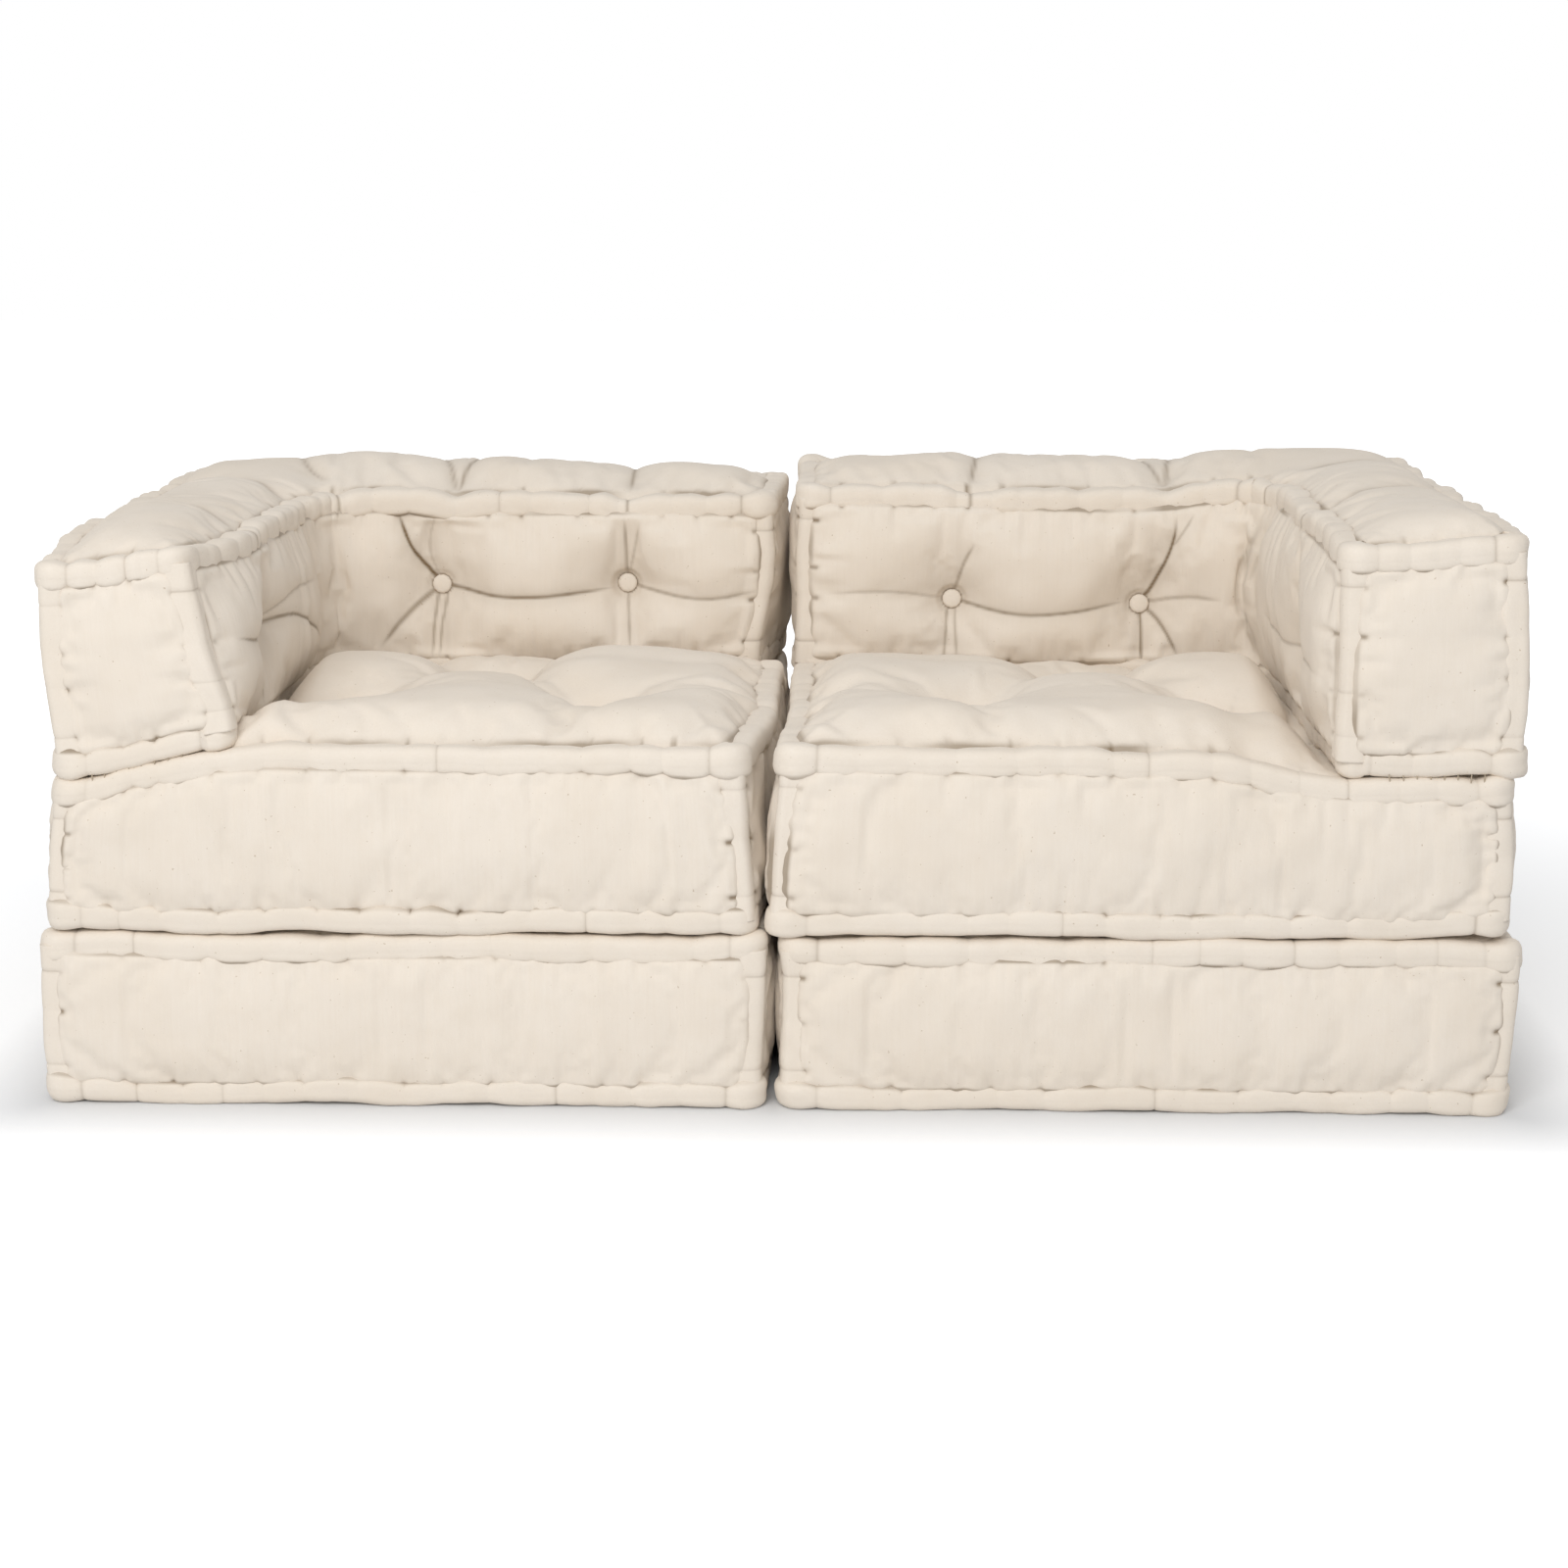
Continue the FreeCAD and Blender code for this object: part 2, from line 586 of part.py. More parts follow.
def tack_stitches():
    """Short threads across the groove between the corner cushion's lower roll and the seat's upper roll."""
    corner_path = plan_path(corner_outline, CORNER_BOTTOM + ROLL_RADIUS)
    seat_path = seat_top_path()
    reach = ROLL_RADIUS + STITCH_RADIUS + STITCH_CLEARANCE
    lift = Vec(0, 0, reach * math.sin(STITCH_ANGLE))
    threads = []
    for place, outward in stitch_places():
        upright = Part.makeLine(place, place + Vec(0, 0, SEAT_FREE_TOP))
        upper, lower = (path.distToShape(upright)[1][0][0] for path in (corner_path, seat_path))
        out = outward * (reach * math.cos(STITCH_ANGLE))
        threads.append(rod(lower + out + lift, upper + out - lift, STITCH_RADIUS))
    return Part.makeCompound(threads)


# Cushions of the left module, as named pieces

def layers(body_at, hollows_at=None):
    """A cushion's outer cloth face, its inner cloth face and its filling."""
    bodies = []
    for offset in (0, CLOTH_THICKNESS, CLOTH_THICKNESS + FILLING_GAP):
        body = body_at(offset)
        bodies.append(body.cut(hollows_at(offset)) if hollows_at else body)
    return bodies


def base_cushion():
    """The cushion on the floor."""
    outer, inner, filling = layers(base_body)
    room = base_body(-ROLL_GAP)
    low, high = ROLL_RADIUS - FLOOR_FLAT, BASE_HEIGHT - ROLL_RADIUS
    corners = square_corners(high, high)
    cutters = [level_roll(square_outline, z, ROLL_RADIUS + ROLL_GAP) for z in (low, high)]
    pieces = cover_panels(outer, inner, below_level(high - HEM_DEPTH), low, corners)
    pieces["top_roll"] = level_roll(square_outline, high, ROLL_RADIUS).cut(room)
    pieces["bottom_roll"] = level_roll(square_outline, low, ROLL_RADIUS).cut([room, below_level(0)])
    side_room = column(square_outline, 0, BASE_HEIGHT, SIDE_BULGE, -ROLL_GAP)
    pieces["corner_rolls"] = upright_rolls(corners, low, side_room, cutters)
    pieces["filling"] = filling
    return pieces


def seat_cushion():
    """The cushion that is sat on, with its tufts."""
    outer, inner, filling = layers(seat_body, seat_hollows)
    room = seat_body(-ROLL_GAP)
    side_room = column(square_outline, SEAT_BOTTOM, SEAT_FREE_TOP, SIDE_BULGE, -ROLL_GAP)
    low = SEAT_BOTTOM + ROLL_RADIUS
    corners = square_corners(SEAT_FREE_TOP - ROLL_RADIUS, SEAT_PRESSED_TOP - ROLL_RADIUS)
    cutters = [level_roll(square_outline, low, ROLL_RADIUS + ROLL_GAP),
               level_tube(seat_top_path(), ROLL_RADIUS + ROLL_GAP)]
    holes = needle_holes(seat_twine_ends())
    pieces = cover_panels(outer, inner, below_seat_rolls(), low, corners)
    pieces["top_panel"] = pieces["top_panel"].cut(holes)
    pieces["bottom_panel"] = pieces["bottom_panel"].cut(holes)
    pieces["top_roll"] = level_tube(seat_top_path(), ROLL_RADIUS).cut(room)
    pieces["bottom_roll"] = level_roll(square_outline, low, ROLL_RADIUS).cut(room)
    pieces["corner_rolls"] = upright_rolls(corners, low, side_room, cutters)
    pieces["filling"] = filling.cut(holes)
    pieces["tuft_twine"] = Part.makeCompound([knotted_twine(*ends) for ends in seat_twine_ends()])
    return pieces


def corner_cushion(height, tuft_height):
    """The L-shaped cushion: an arm and a back in one, with its buttons."""
    outer, inner, filling = layers(lambda offset: corner_body(height, offset),
                                   lambda offset: corner_hollows(tuft_height, offset))
    room = corner_body(height, -ROLL_GAP)
    side_room = column(corner_outline, CORNER_BOTTOM, CORNER_BOTTOM + height, CORNER_SIDE_BULGE, -ROLL_GAP)
    low, high = CORNER_BOTTOM + ROLL_RADIUS, CORNER_BOTTOM + height - ROLL_RADIUS
    corners = corner_corners(high)
    cutters = [level_roll(corner_outline, z, ROLL_RADIUS + ROLL_GAP) for z in (low, high)]
    floors = corner_tuft_floors(tuft_height)
    twines = [(shown, hidden) for shown, hidden, way in floors]
    holes = needle_holes(twines)
    pieces = cover_panels(outer, inner, below_level(high - HEM_DEPTH), low, corners)
    pieces["side_panels"] = pieces["side_panels"].cut(holes)
    pieces["top_roll"] = level_roll(corner_outline, high, ROLL_RADIUS).cut(room)
    pieces["bottom_roll"] = level_roll(corner_outline, low, ROLL_RADIUS).cut(room)
    pieces["corner_rolls"] = upright_rolls(corners, low, side_room, cutters)
    pieces["filling"] = filling.cut(holes)
    pieces["inside_buttons"] = Part.makeCompound([button(shown, way * -1) for shown, hidden, way in floors])
    pieces["outside_buttons"] = Part.makeCompound([button(hidden, way) for shown, hidden, way in floors])
    pieces["tuft_twine"] = Part.makeCompound([rod(*ends, TWINE_RADIUS) for ends in twines])
    pieces["tack_stitches"] = tack_stitches()
    return pieces


def save(side, cushion, pieces, mirrored):
    """One file for each piece, a mirror image for the right module."""
    for name, shape in pieces.items():
        solids = [solid.mirror(Vec(0, 0, 0), Vec(1, 0, 0)) if mirrored else solid for solid in shape.Solids]
        node = solids[0] if len(solids) == 1 else Part.makeCompound(solids)
        node.exportStep(f"parts/{side}_{cushion}_{name}.step")


def main():
    os.makedirs("parts", exist_ok=True)
    base, seat = base_cushion(), seat_cushion()
    modules = (("left", LEFT_CORNER_HEIGHT, LEFT_TUFT_HEIGHT, False),
               ("right", RIGHT_CORNER_HEIGHT, RIGHT_TUFT_HEIGHT, True))
    for side, corner_height, tuft_height, mirrored in modules:
        save(side, "base", base, mirrored)
        save(side, "seat", seat, mirrored)
        save(side, "corner", corner_cushion(corner_height, tuft_height), mirrored)


if __name__ == "__main__":
    main()
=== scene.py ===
"""Looks of a two-seat modular floor sofa: six stuffed canvas cushions with rolled, hand-stitched edges."""
import math

import bmesh
import bpy
import numpy as np
from bpy.props import FloatProperty, FloatVectorProperty, IntProperty, PointerProperty
from mathutils import Matrix, Vector


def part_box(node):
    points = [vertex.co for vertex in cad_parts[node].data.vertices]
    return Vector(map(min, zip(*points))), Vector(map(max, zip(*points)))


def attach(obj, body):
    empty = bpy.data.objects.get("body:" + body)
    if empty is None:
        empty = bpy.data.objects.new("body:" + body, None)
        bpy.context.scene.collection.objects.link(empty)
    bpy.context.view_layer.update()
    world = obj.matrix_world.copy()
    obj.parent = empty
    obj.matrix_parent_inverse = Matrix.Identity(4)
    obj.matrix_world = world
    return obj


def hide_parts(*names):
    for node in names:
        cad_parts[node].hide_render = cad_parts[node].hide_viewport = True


bl_info = {
    "name": "Modular floor sofa",
    "version": (1, 0, 0),
    "blender": (4, 5, 0),
    "location": "View3D > Sidebar > Sofa",
    "description": "Builds the cushions, rolled edges and buttons of a modular floor sofa around its frame",
    "category": "Add Mesh",
}

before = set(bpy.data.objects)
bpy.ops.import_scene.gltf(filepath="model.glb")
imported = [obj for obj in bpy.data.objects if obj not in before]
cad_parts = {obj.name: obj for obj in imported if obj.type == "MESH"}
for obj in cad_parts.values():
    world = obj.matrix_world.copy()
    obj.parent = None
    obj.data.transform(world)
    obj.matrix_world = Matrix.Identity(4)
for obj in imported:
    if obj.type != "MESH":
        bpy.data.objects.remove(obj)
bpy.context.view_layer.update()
MM = 0.001
SIDES = ("left", "right")
KINDS = ("base", "seat", "corner")
# A distance past every other one, for places that nothing is near
FAR = 9.0
# Places closer than this are one place
SAME_PLACE = 1e-6
# A vertex closer to a plane than this lies on it
ON_PLANE = 1e-5
# How far the cloth stays off the floor, and the seat off the corner cushion that presses it
REST_GAP = 0.3 * MM
# How far a cover's panels stay inside the planes where its cushion lies on another or on the floor
COVER_GAP = 0.5 * MM


def length(name, description, default):
    """A length as a property."""
    return FloatProperty(name=name, description=description, default=default, unit="LENGTH")


def tint(name, description, default):
    """A colour as a property."""
    return FloatVectorProperty(name=name, description=description, subtype="COLOR", default=default)


class SofaSizes(bpy.types.PropertyGroup):
    """Sizes of the stuffed cushions and their edges."""

    roll_radius: length("Roll radius", "Radius of the rolled edges", 14 * MM)
    upright_inset: length("Upright inset", "How far the upright rolls stand inside the level ones", 3 * MM)
    panel_inset: length("Panel inset", "How far the panels' seams lie inside the outer planes", 13 * MM)
    panel_sink: length("Panel sink", "How far the side panels stay behind the rolls", 1.2 * MM)
    arm_thickness: length("Arm thickness", "Thickness of the corner cushion's arm", 185 * MM)
    back_thickness: length("Back thickness", "Thickness of the corner cushion's back", 195 * MM)
    inner_bend: length("Inner bend", "Radius of the corner cushion's inner corner", 72 * MM)
    seat_rise: length("Seat rise", "Width of the seat's climb beside the corner cushion", 46 * MM)
    front_reach: length("Front reach", "How far back the shape of the seat's front edge reaches", 105 * MM)
    near_rise: length("Near rise", "Width of the steep rise right behind a seam", 10 * MM)
    far_rise: length("Far rise", "Width of the gentle rise behind a seam", 70 * MM)
    seat_crown: length("Seat crown", "How far the seat's top panel stands over its rolls", 24 * MM)
    corner_crown: length("Corner crown", "How far the corner cushion's top stands over its rolls", 13 * MM)
    face_bulge: length("Face bulge", "How far the faces of arm and back swell past their rolls", 11 * MM)
    stitch_pitch: length("Stitch pitch", "Distance between the pinching stitches of a roll", 46 * MM)
    ring_pitch: length("Ring pitch", "Grid size along a roll", 3.2 * MM)
    cell: length("Cloth cell", "Grid size of the cloth when it is inflated", 7.4 * MM)
    swell_cap: length("Swell cap", "The furthest that inflating may move the cloth", 9 * MM)
    swell_frames: IntProperty(name="Swell frames", description="Number of frames of inflating", default=14)


class CanvasFinish(bpy.types.PropertyGroup):
    """Colours of the unbleached canvas, of the shade painted into its seams and creases, and of the thread.
    """

    cloth: tint("Canvas", "Colour of the unbleached canvas", (0.835, 0.757, 0.662))
    blotch: tint("Blotch", "Colour of the canvas where it is warmer", (0.770, 0.675, 0.560))
    # The colour of the painted shade that darkens the canvas in its seams, stitch pits, creases and button
    # hollows
    shade: tint("Seam shade", "Colour of the canvas deep in its seams", (0.22, 0.155, 0.090))
    fleck: tint("Seed fleck", "Colour of the specks in unbleached cotton", (0.40, 0.29, 0.17))
    thread: tint("Thread", "Colour of the waxed thread and twine", (0.55, 0.45, 0.33))


class StageSettings(bpy.types.PropertyGroup):
    """The camera, the floor and the light."""

    lens: FloatProperty(name="Lens", description="Focal length of the camera in millimetres", default=65.6)
    key_power: FloatProperty(name="Key light", description="Power of the large soft front light",
                             default=102.0, subtype="POWER")
    sky: FloatProperty(name="Sky", description="Strength of the light from all round", default=0.58)


def sizes():
    return bpy.context.scene.sofa_sizes


# Seeded noise and small curves

# The shortest and longest wave of a noise, as shares of its spacing
WAVE_SPREAD = (0.7, 1.6)
# The shares of the steep and the gentle part in a stuffed panel's rise
STEEP, GENTLE = 0.88, 0.12
# The share of a run that is cut off at each of a line's corners
CORNER_CUT = 0.25


def waves(points, spacing, seed, count=14):
    """Smooth noise between about -1 and 1, with bumps about half that spacing apart."""
    rng = np.random.default_rng(seed)
    ways = rng.normal(size=(count, points.shape[1]))
    lengths = spacing * rng.uniform(*WAVE_SPREAD, count)
    ways *= (2 * math.pi / lengths / np.linalg.norm(ways, axis=1))[:, None]
    return np.sin(points @ ways.T + rng.uniform(0, 2 * math.pi, count)).sum(axis=1) / math.sqrt(count)


def fade(distance, width):
    """1 at a place, and less away from it, steeply at first."""
    return np.exp(-distance / width)


def bell(distance, width):
    """1 at a place, and less away from it, gently at first, with little left past twice that width."""
    return np.exp(-(distance / width) ** 2)


def rise(distance, reach):
    """0 at a seam and 1 past that reach, rounded like a stuffed edge."""
    return np.sin(math.pi / 2 * np.clip(distance / reach, 0, 1))


def stuffed_rise(distance):
    """The rise of a stuffed panel behind a seam: steep at first, then gentle."""
    return STEEP * rise(distance, sizes().near_rise) + GENTLE * rise(distance, sizes().far_rise)


def climb(value, start, end):
    """0 before start, 1 after end, and a smooth climb between them."""
    t = np.clip((value - start) / (end - start), 0, 1)
    return t * t * (3 - 2 * t)


def to_segment(points, start, end):
    """Distance of 2-D points to a segment, and how far along it the nearest place is, from 0 to 1."""
    way = end - start
    along = np.clip((points - start) @ way / (way @ way), 0, 1)
    return np.linalg.norm(points - start - along[:, None] * way, axis=1), along


def to_line(points, line):
    """Distance of 2-D points to a line of several runs, and how far along it the nearest place is."""
    runs = [np.linalg.norm(end - start) for start, end in zip(line, line[1:])]
    best, share, done = np.full(len(points), FAR), np.zeros(len(points)), 0.0
    for start, end, run in zip(line, line[1:], runs):
        gap, along = to_segment(points, start, end)
        nearer = gap < best
        share = np.where(nearer, (done + along * run) / sum(runs), share)
        best = np.minimum(best, gap)
        done += run
    return best, share


def rounded_line(line, rounds=2):
    """A line with its corners cut."""
    for _ in range(rounds):
        cut = [line[0]]
        for start, end in zip(line, line[1:]):
            cut += [start * (1 - CORNER_CUT) + end * CORNER_CUT, start * CORNER_CUT + end * (1 - CORNER_CUT)]
        line = np.array(cut + [line[-1]])
    return line


# How each cushion has slumped: at a corner, how far round it, and the move, in millimetres. Both modules
# are worked out in the left one's place, with the outer side at -X, and the right one is mirrored at the end.

SLUMPS = {
    "left_base": [
        (("outer", "front", "mid"), 80, (-6, 0, 0)),
        (("inner", "front", "low"), 70, (-6, 0, 0)),
    ],
    "right_base": [
        (("inner", "front", "mid"), 240, (4, 0, 0)),
        (("outer", "front", "low"), 70, (8, 0, 0)),
        (("outer", "front", "mid"), 80, (-5, 0, 0)),
    ],
    "left_seat": [
        (("outer", "front", "low"), 80, (6, 0, 2)),
        (("outer", "front", "high"), 100, (22, 0, -12)),
        (("inner", "front", "high"), 110, (-20, 0, 0)),
        (("inner", "front", "low"), 110, (-9, 0, 0)),
        (("outer", "rear", "high"), 110, (12, 0, -2)),
    ],
    "right_seat": [
        (("outer", "front", "low"), 80, (11, 0, 6)),
        (("outer", "front", "high"), 90, (18, 0, 0)),
        (("inner", "front", "low"), 130, (15, 0, 0)),
        (("inner", "front", "high"), 110, (2, 0, 3)),
    ],
    "left_corner": [
        (("outer", "front", "high"), 110, (14, 0, -9)),
        (("outer", "front", "low"), 110, (23, 0, 0)),
        (("arm", "front", "high"), 95, (-24, 0, 7)),
        (("arm", "front", "low"), 85, (13, 0, 4)),
        (("middle", "rear", "high"), 190, (0, 0, 17)),
        (("arm", "rear", "high"), 130, (0, 0, 11)),
        (("middle", "back", "mid"), 170, (0, 0, -9)),
        (("outer", "rear", "high"), 120, (8, 0, 2)),
        (("outer", "front", "low"), 120, (0, 0, -9)),
        (("inner", "back", "low"), 90, (-24, 0, 0)),
        (("inner", "back", "high"), 80, (-9, 0, -2)),
    ],
    "right_corner": [
        (("outer", "front", "high"), 100, (13, 0, 3)),
        (("outer", "front", "low"), 80, (7, 0, 0)),
        (("arm", "front", "high"), 90, (1, 0, -6)),
        (("middle", "rear", "high"), 280, (0, 0, 4)),
        (("middle", "back", "mid"), 170, (0, 0, -9)),
        (("inner", "back", "low"), 90, (4, 0, 0)),
    ],
}
# How far the front of a back's top has sunk, in millimetres
BACK_DROOP = {"left": 3, "right": 12}
# Where the seat's front edge starts and ends its climb, in millimetres from the arm's inner face
FRONT_CLIMB = {"left": (-190, 40), "right": (-20, 150)}

# Creases of the corner cushions: the face, where the line starts from, its points from there, its depth and
# its width, all in millimetres. Points are (x, z) on the back, (y, z) on the arm and (x, y) on the top.
CREASES = {
    "left_corner": [
        ("back", "outer_button", [(0, 0), (-25, 36), (-46, 88)], 6.0, 3.0),
        ("back", "outer_button", [(0, 0), (-12, 40), (-2, 88)], 2.4, 2.6),
        ("back", "outer_button", [(-3, -4), (-11, -84)], 3.6, 2.4),
        ("back", "outer_button", [(5, -4), (-3, -84)], 3.4, 2.4),
        ("back", "outer_button", [(0, 0), (53, -9), (104, -11), (205, 0)], 4.5, 3.0),
        ("back", "outer_button", [(0, 0), (-35, -30), (-69, -72)], 4.0, 4.0),
        ("back", "inner_button", [(0, 0), (-1, 77)], 3.6, 2.6),
        ("back", "inner_button", [(0, 0), (16, 72)], 2.6, 2.6),
        ("back", "inner_button", [(0, 0), (4, -76)], 3.0, 2.6),
        ("back", "inner_button", [(0, 0), (87, -17), (152, -4)], 3.4, 3.0),
        ("arm", "arm_button", [(0, 0), (-68, -1), (-160, 16)], 4.0, 2.6),
        ("arm", "arm_button", [(0, 0), (80, 4), (148, -17), (220, -48)], 4.2, 3.0),
        ("arm", "arm_button", [(0, 0), (-10, 78)], 4.0, 3.4),
        ("arm", "arm_button", [(0, 0), (-25, -76)], 3.0, 2.6),
        ("arm", "arm_button", [(0, 0), (80, 27), (200, 20)], 2.6, 2.6),
        ("back", "outer_button", [(0, 0), (-14, 88)], 3.6, 9.0),
        ("back", "outer_button", [(0, 0), (8, -84)], 4.5, 9.0),
        ("bend", "bend", [(22, 82), (33, 33), (28, -20), (17, -63)], 2.2, 9.0),
        ("top", "bend", [(104, 185), (132, 100), (151, 15)], 5.5, 5.0),
        ("top", "bend", [(175, 180), (155, 80), (151, 15)], 4.5, 4.5),
        ("top", "bend", [(329, 185), (343, 90), (339, 15)], 5.0, 4.5),
        ("top", "bend", [(-175, 15), (-85, -20), (-5, -60)], 5.0, 5.5),
        ("top", "bend", [(-175, -210), (-85, -250), (-7, -300)], 5.5, 5.5),
        ("top", "bend", [(-45, 185), (-30, 70), (15, 15)], 4.0, 5.0),
    ],
    "right_corner": [
        ("back", "inner_button", [(0, 0), (-10, 41), (-24, 66)], 3.4, 3.0),
        ("back", "inner_button", [(4, -4), (10, -74)], 3.4, 2.4),
        ("back", "inner_button", [(-3, -4), (-5, -67)], 3.0, 2.4),
        ("back", "inner_button", [(0, 0), (-52, -12), (-105, -15), (-205, 0)], 4.0, 3.0),
        ("back", "inner_button", [(0, 0), (77, 14), (142, 8)], 2.4, 3.0),
        ("back", "outer_button", [(0, 0), (-16, 26), (-34, 78), (-36, 102)], 5.0, 2.8),
        ("back", "outer_button", [(-33, 68), (-55, 102)], 2.6, 2.4),
        ("back", "outer_button", [(0, 0), (-3, -74)], 4.6, 2.4),
        ("back", "outer_button", [(0, 0), (-18, -14), (-43, -60)], 4.2, 3.0),
        ("back", "outer_button", [(0, 0), (-42, 12), (-87, 9)], 3.0, 3.4),
        ("arm", "arm_button", [(0, 0), (-70, 8), (-160, 2)], 2.6, 3.0),
        ("arm", "arm_button", [(0, 0), (80, -8), (180, 8)], 2.6, 3.0),
        ("arm", "arm_button", [(0, 0), (-6, 88)], 2.8, 3.2),
        ("arm", "arm_button", [(0, 0), (4, -62)], 2.4, 2.8),
        ("back", "outer_button", [(0, 0), (-22, 88)], 3.6, 9.0),
        ("back", "outer_button", [(0, 0), (6, -74)], 4.5, 9.0),
        ("bend", "bend", [(9, 98), (24, 64), (33, 21), (27, -13), (8, -60)], 4.0, 4.0),
        ("bend", "bend", [(-2, 96), (15, 64), (23, 24)], 2.6, 3.0),
        ("top", "bend", [(303, 185), (310, 90), (319, 15)], 5.0, 4.5),
        ("top", "bend", [(132, 185), (123, 100), (105, 15)], 5.5, 5.0),
        ("top", "bend", [(81, 185), (100, 90), (105, 15)], 4.0, 4.5),
        ("top", "bend", [(-175, -170), (-85, -210), (-5, -250)], 5.0, 5.5),
        ("top", "bend", [(-175, 40), (-95, 20), (-25, -20)], 4.0, 5.0),
    ],
}


def crease_ends(cushion):
    """The plan places where the creases of a corner cushion's top reach its rolled edge."""
    if cushion.kind != "corner":
        return []
    tops = [points for face, _, points, _, _ in CREASES[cushion.name] if face == "top"]
    return [cushion.bend_at + np.array(points[end]) * MM for points in tops for end in (0, -1)]


# How deep behind the corner cushion's inner corner its rounding reaches, as a share of the bend's radius
BEND_DEPTH = 0.9
# How far a roll's last stitches are from its ends
END_STITCH = 25 * MM
# How far a stitch may stray along its roll, as a share of the distance between stitches
STITCH_STRAY = 0.24
# The share of stitches that crease their roll right across
ACROSS_SHARE = 0.16
# The share of the way from a corner to the cushion's middle at which a place is surely on the cushion
JUST_INSIDE = 0.02


class Cushion:
    """One cushion's measures, in the left module's place."""

    def __init__(self, side, kind):
        self.side, self.kind = side, kind
        self.name = f"{side}_{kind}"
        self.seed = 100 * SIDES.index(side) + 10 * KINDS.index(kind)
        self.mirrored = side == "right"
        self.body = f"{side}_base" if kind == "base" else f"{side}_seat_unit"
        self.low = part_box(f"{self.name}_bottom_roll")[0].z
        low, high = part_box(f"{self.name}_top_roll")
        self.high = high.z
        self.x0, self.x1 = -max(abs(low.x), abs(high.x)), -min(abs(low.x), abs(high.x))
        self.y0, self.y1 = low.y, high.y
        self.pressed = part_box(f"{side}_corner_bottom_roll")[0].z - REST_GAP
        size = sizes()
        self.face_x, self.face_y = self.x0 + size.arm_thickness, self.y1 - size.back_thickness
        x0, x1, y0, y1 = self.x0, self.x1, self.y0, self.y1
        if kind == "corner":
            self.bend_at = np.array((self.face_x, self.face_y))
            self.plan = np.array([(x0, y0), (self.face_x, y0), (self.face_x, self.face_y),
                                  (x1, self.face_y), (x1, y1), (x0, y1)])
        else:
            self.bend_at = None
            self.plan = np.array([(x0, y0), (x1, y0), (x1, y1), (x0, y1)])

    def sides(self, inset=0.0):
        """Each side of the plan, drawn in by inset: start, end and way out."""
        outs = []
        for start, end in zip(self.plan, np.roll(self.plan, -1, axis=0)):
            way = (end - start) / np.linalg.norm(end - start)
            outs.append(np.array((way[1], -way[0])))
        ends = [corner - inset * (outs[k - 1] + outs[k]) for k, corner in enumerate(self.plan)]
        return [(ends[k], ends[(k + 1) % len(ends)], outs[k]) for k in range(len(ends))]

    def bent(self, xy):
        """Plan places with the corner cushion's inner corner rounded."""
        if self.bend_at is None:
            return xy
        radius = sizes().inner_bend
        below, beyond = self.bend_at[1] - xy[:, 1], xy[:, 0] - self.bend_at[0]
        along = np.maximum(np.maximum(below, beyond), 0)
        depth = np.hypot(np.maximum(-beyond, 0), np.maximum(-below, 0))
        angle = (1 - np.clip(along / radius, 0, 1)) * math.pi / 4
        side = radius * (1 - np.cos(angle))
        slide = np.where(along < radius, radius * (1 - np.sin(angle)) - along, 0)
        on_arm = ((below > beyond) | (along == 0))[:, None]
        move = np.where(on_arm, np.stack((side, -slide), axis=1), np.stack((slide, -side), axis=1))
        straight = radius * (1 - math.cos(math.pi / 4))
        move = np.where((along == 0)[:, None], np.array((straight, -straight)), move)
        return xy + move * bell(depth, BEND_DEPTH * radius)[:, None]

    def frontness(self, places):
        """1 at the cushion's front edge, and less behind it."""
        return bell(places[:, 1] - self.y0, sizes().front_reach)

    def freedom(self, xy):
        """0 where the corner cushion presses the seat down and 1 where the seat is free."""
        rise_width = sizes().seat_rise
        free = climb(xy[:, 0], self.face_x, self.face_x + rise_width)
        free = free * (1 - climb(xy[:, 1], self.face_y - rise_width, self.face_y))
        return free + (self.front_climb(xy) - free) * self.frontness(xy)

    def front_climb(self, xy):
        """The climb of the seat's front edge, from 0 under the arm to 1 where it is free."""
        start, end = FRONT_CLIMB[self.side]
        return climb(xy[:, 0], self.face_x + start * MM, self.face_x + end * MM)

    def level(self, xy):
        """How high the top of the cushion's upper roll is over a place."""
        if self.kind != "seat":
            return np.full(len(xy), self.high)
        return self.pressed + (self.high - self.pressed) * self.freedom(xy)

    def stitches(self, row, run):
        """The pinching stitches of one run of a roll: places along it, pulls, and creases right across."""
        rng = np.random.default_rng(self.seed * 7 + row + 5)
        pitch = sizes().stitch_pitch
        sewn = run - 2 * END_STITCH
        count = max(2, round(sewn / pitch))
        places = END_STITCH + sewn * np.arange(count + 1) / count
        places[1:-1] += rng.uniform(-STITCH_STRAY, STITCH_STRAY, count - 1) * pitch
        pulls = rng.uniform(0.25, 1.0, count + 1)
        crossed = rng.uniform(size=count + 1) < ACROSS_SHARE
        across = np.where(crossed, rng.uniform(0.3, 0.8, count + 1), 0.0)
        across[[0, -1]] = rng.uniform(0.3, 1.0, 2)
        return places, pulls, across

    def level_stitches(self, level, side):
        """The stitches of a level roll along one side of the plan."""
        start, end, _ = self.sides()[side]
        return self.stitches(level * 101 + side * 13, np.linalg.norm(end - start))

    def upright_span(self, corner):
        """The lowest and highest place of the upright roll at a corner of the plan."""
        radius = sizes().roll_radius
        inside = self.plan[corner] + (self.plan.mean(axis=0) - self.plan[corner]) * JUST_INSIDE
        return self.low + radius, float(self.level(inside[None, :])[0]) - radius

    def upright_stitches(self, corner):
        """The stitches of the upright roll at a corner of the plan."""
        low, high = self.upright_span(corner)
        return self.stitches(503 + corner * 17, high - low)

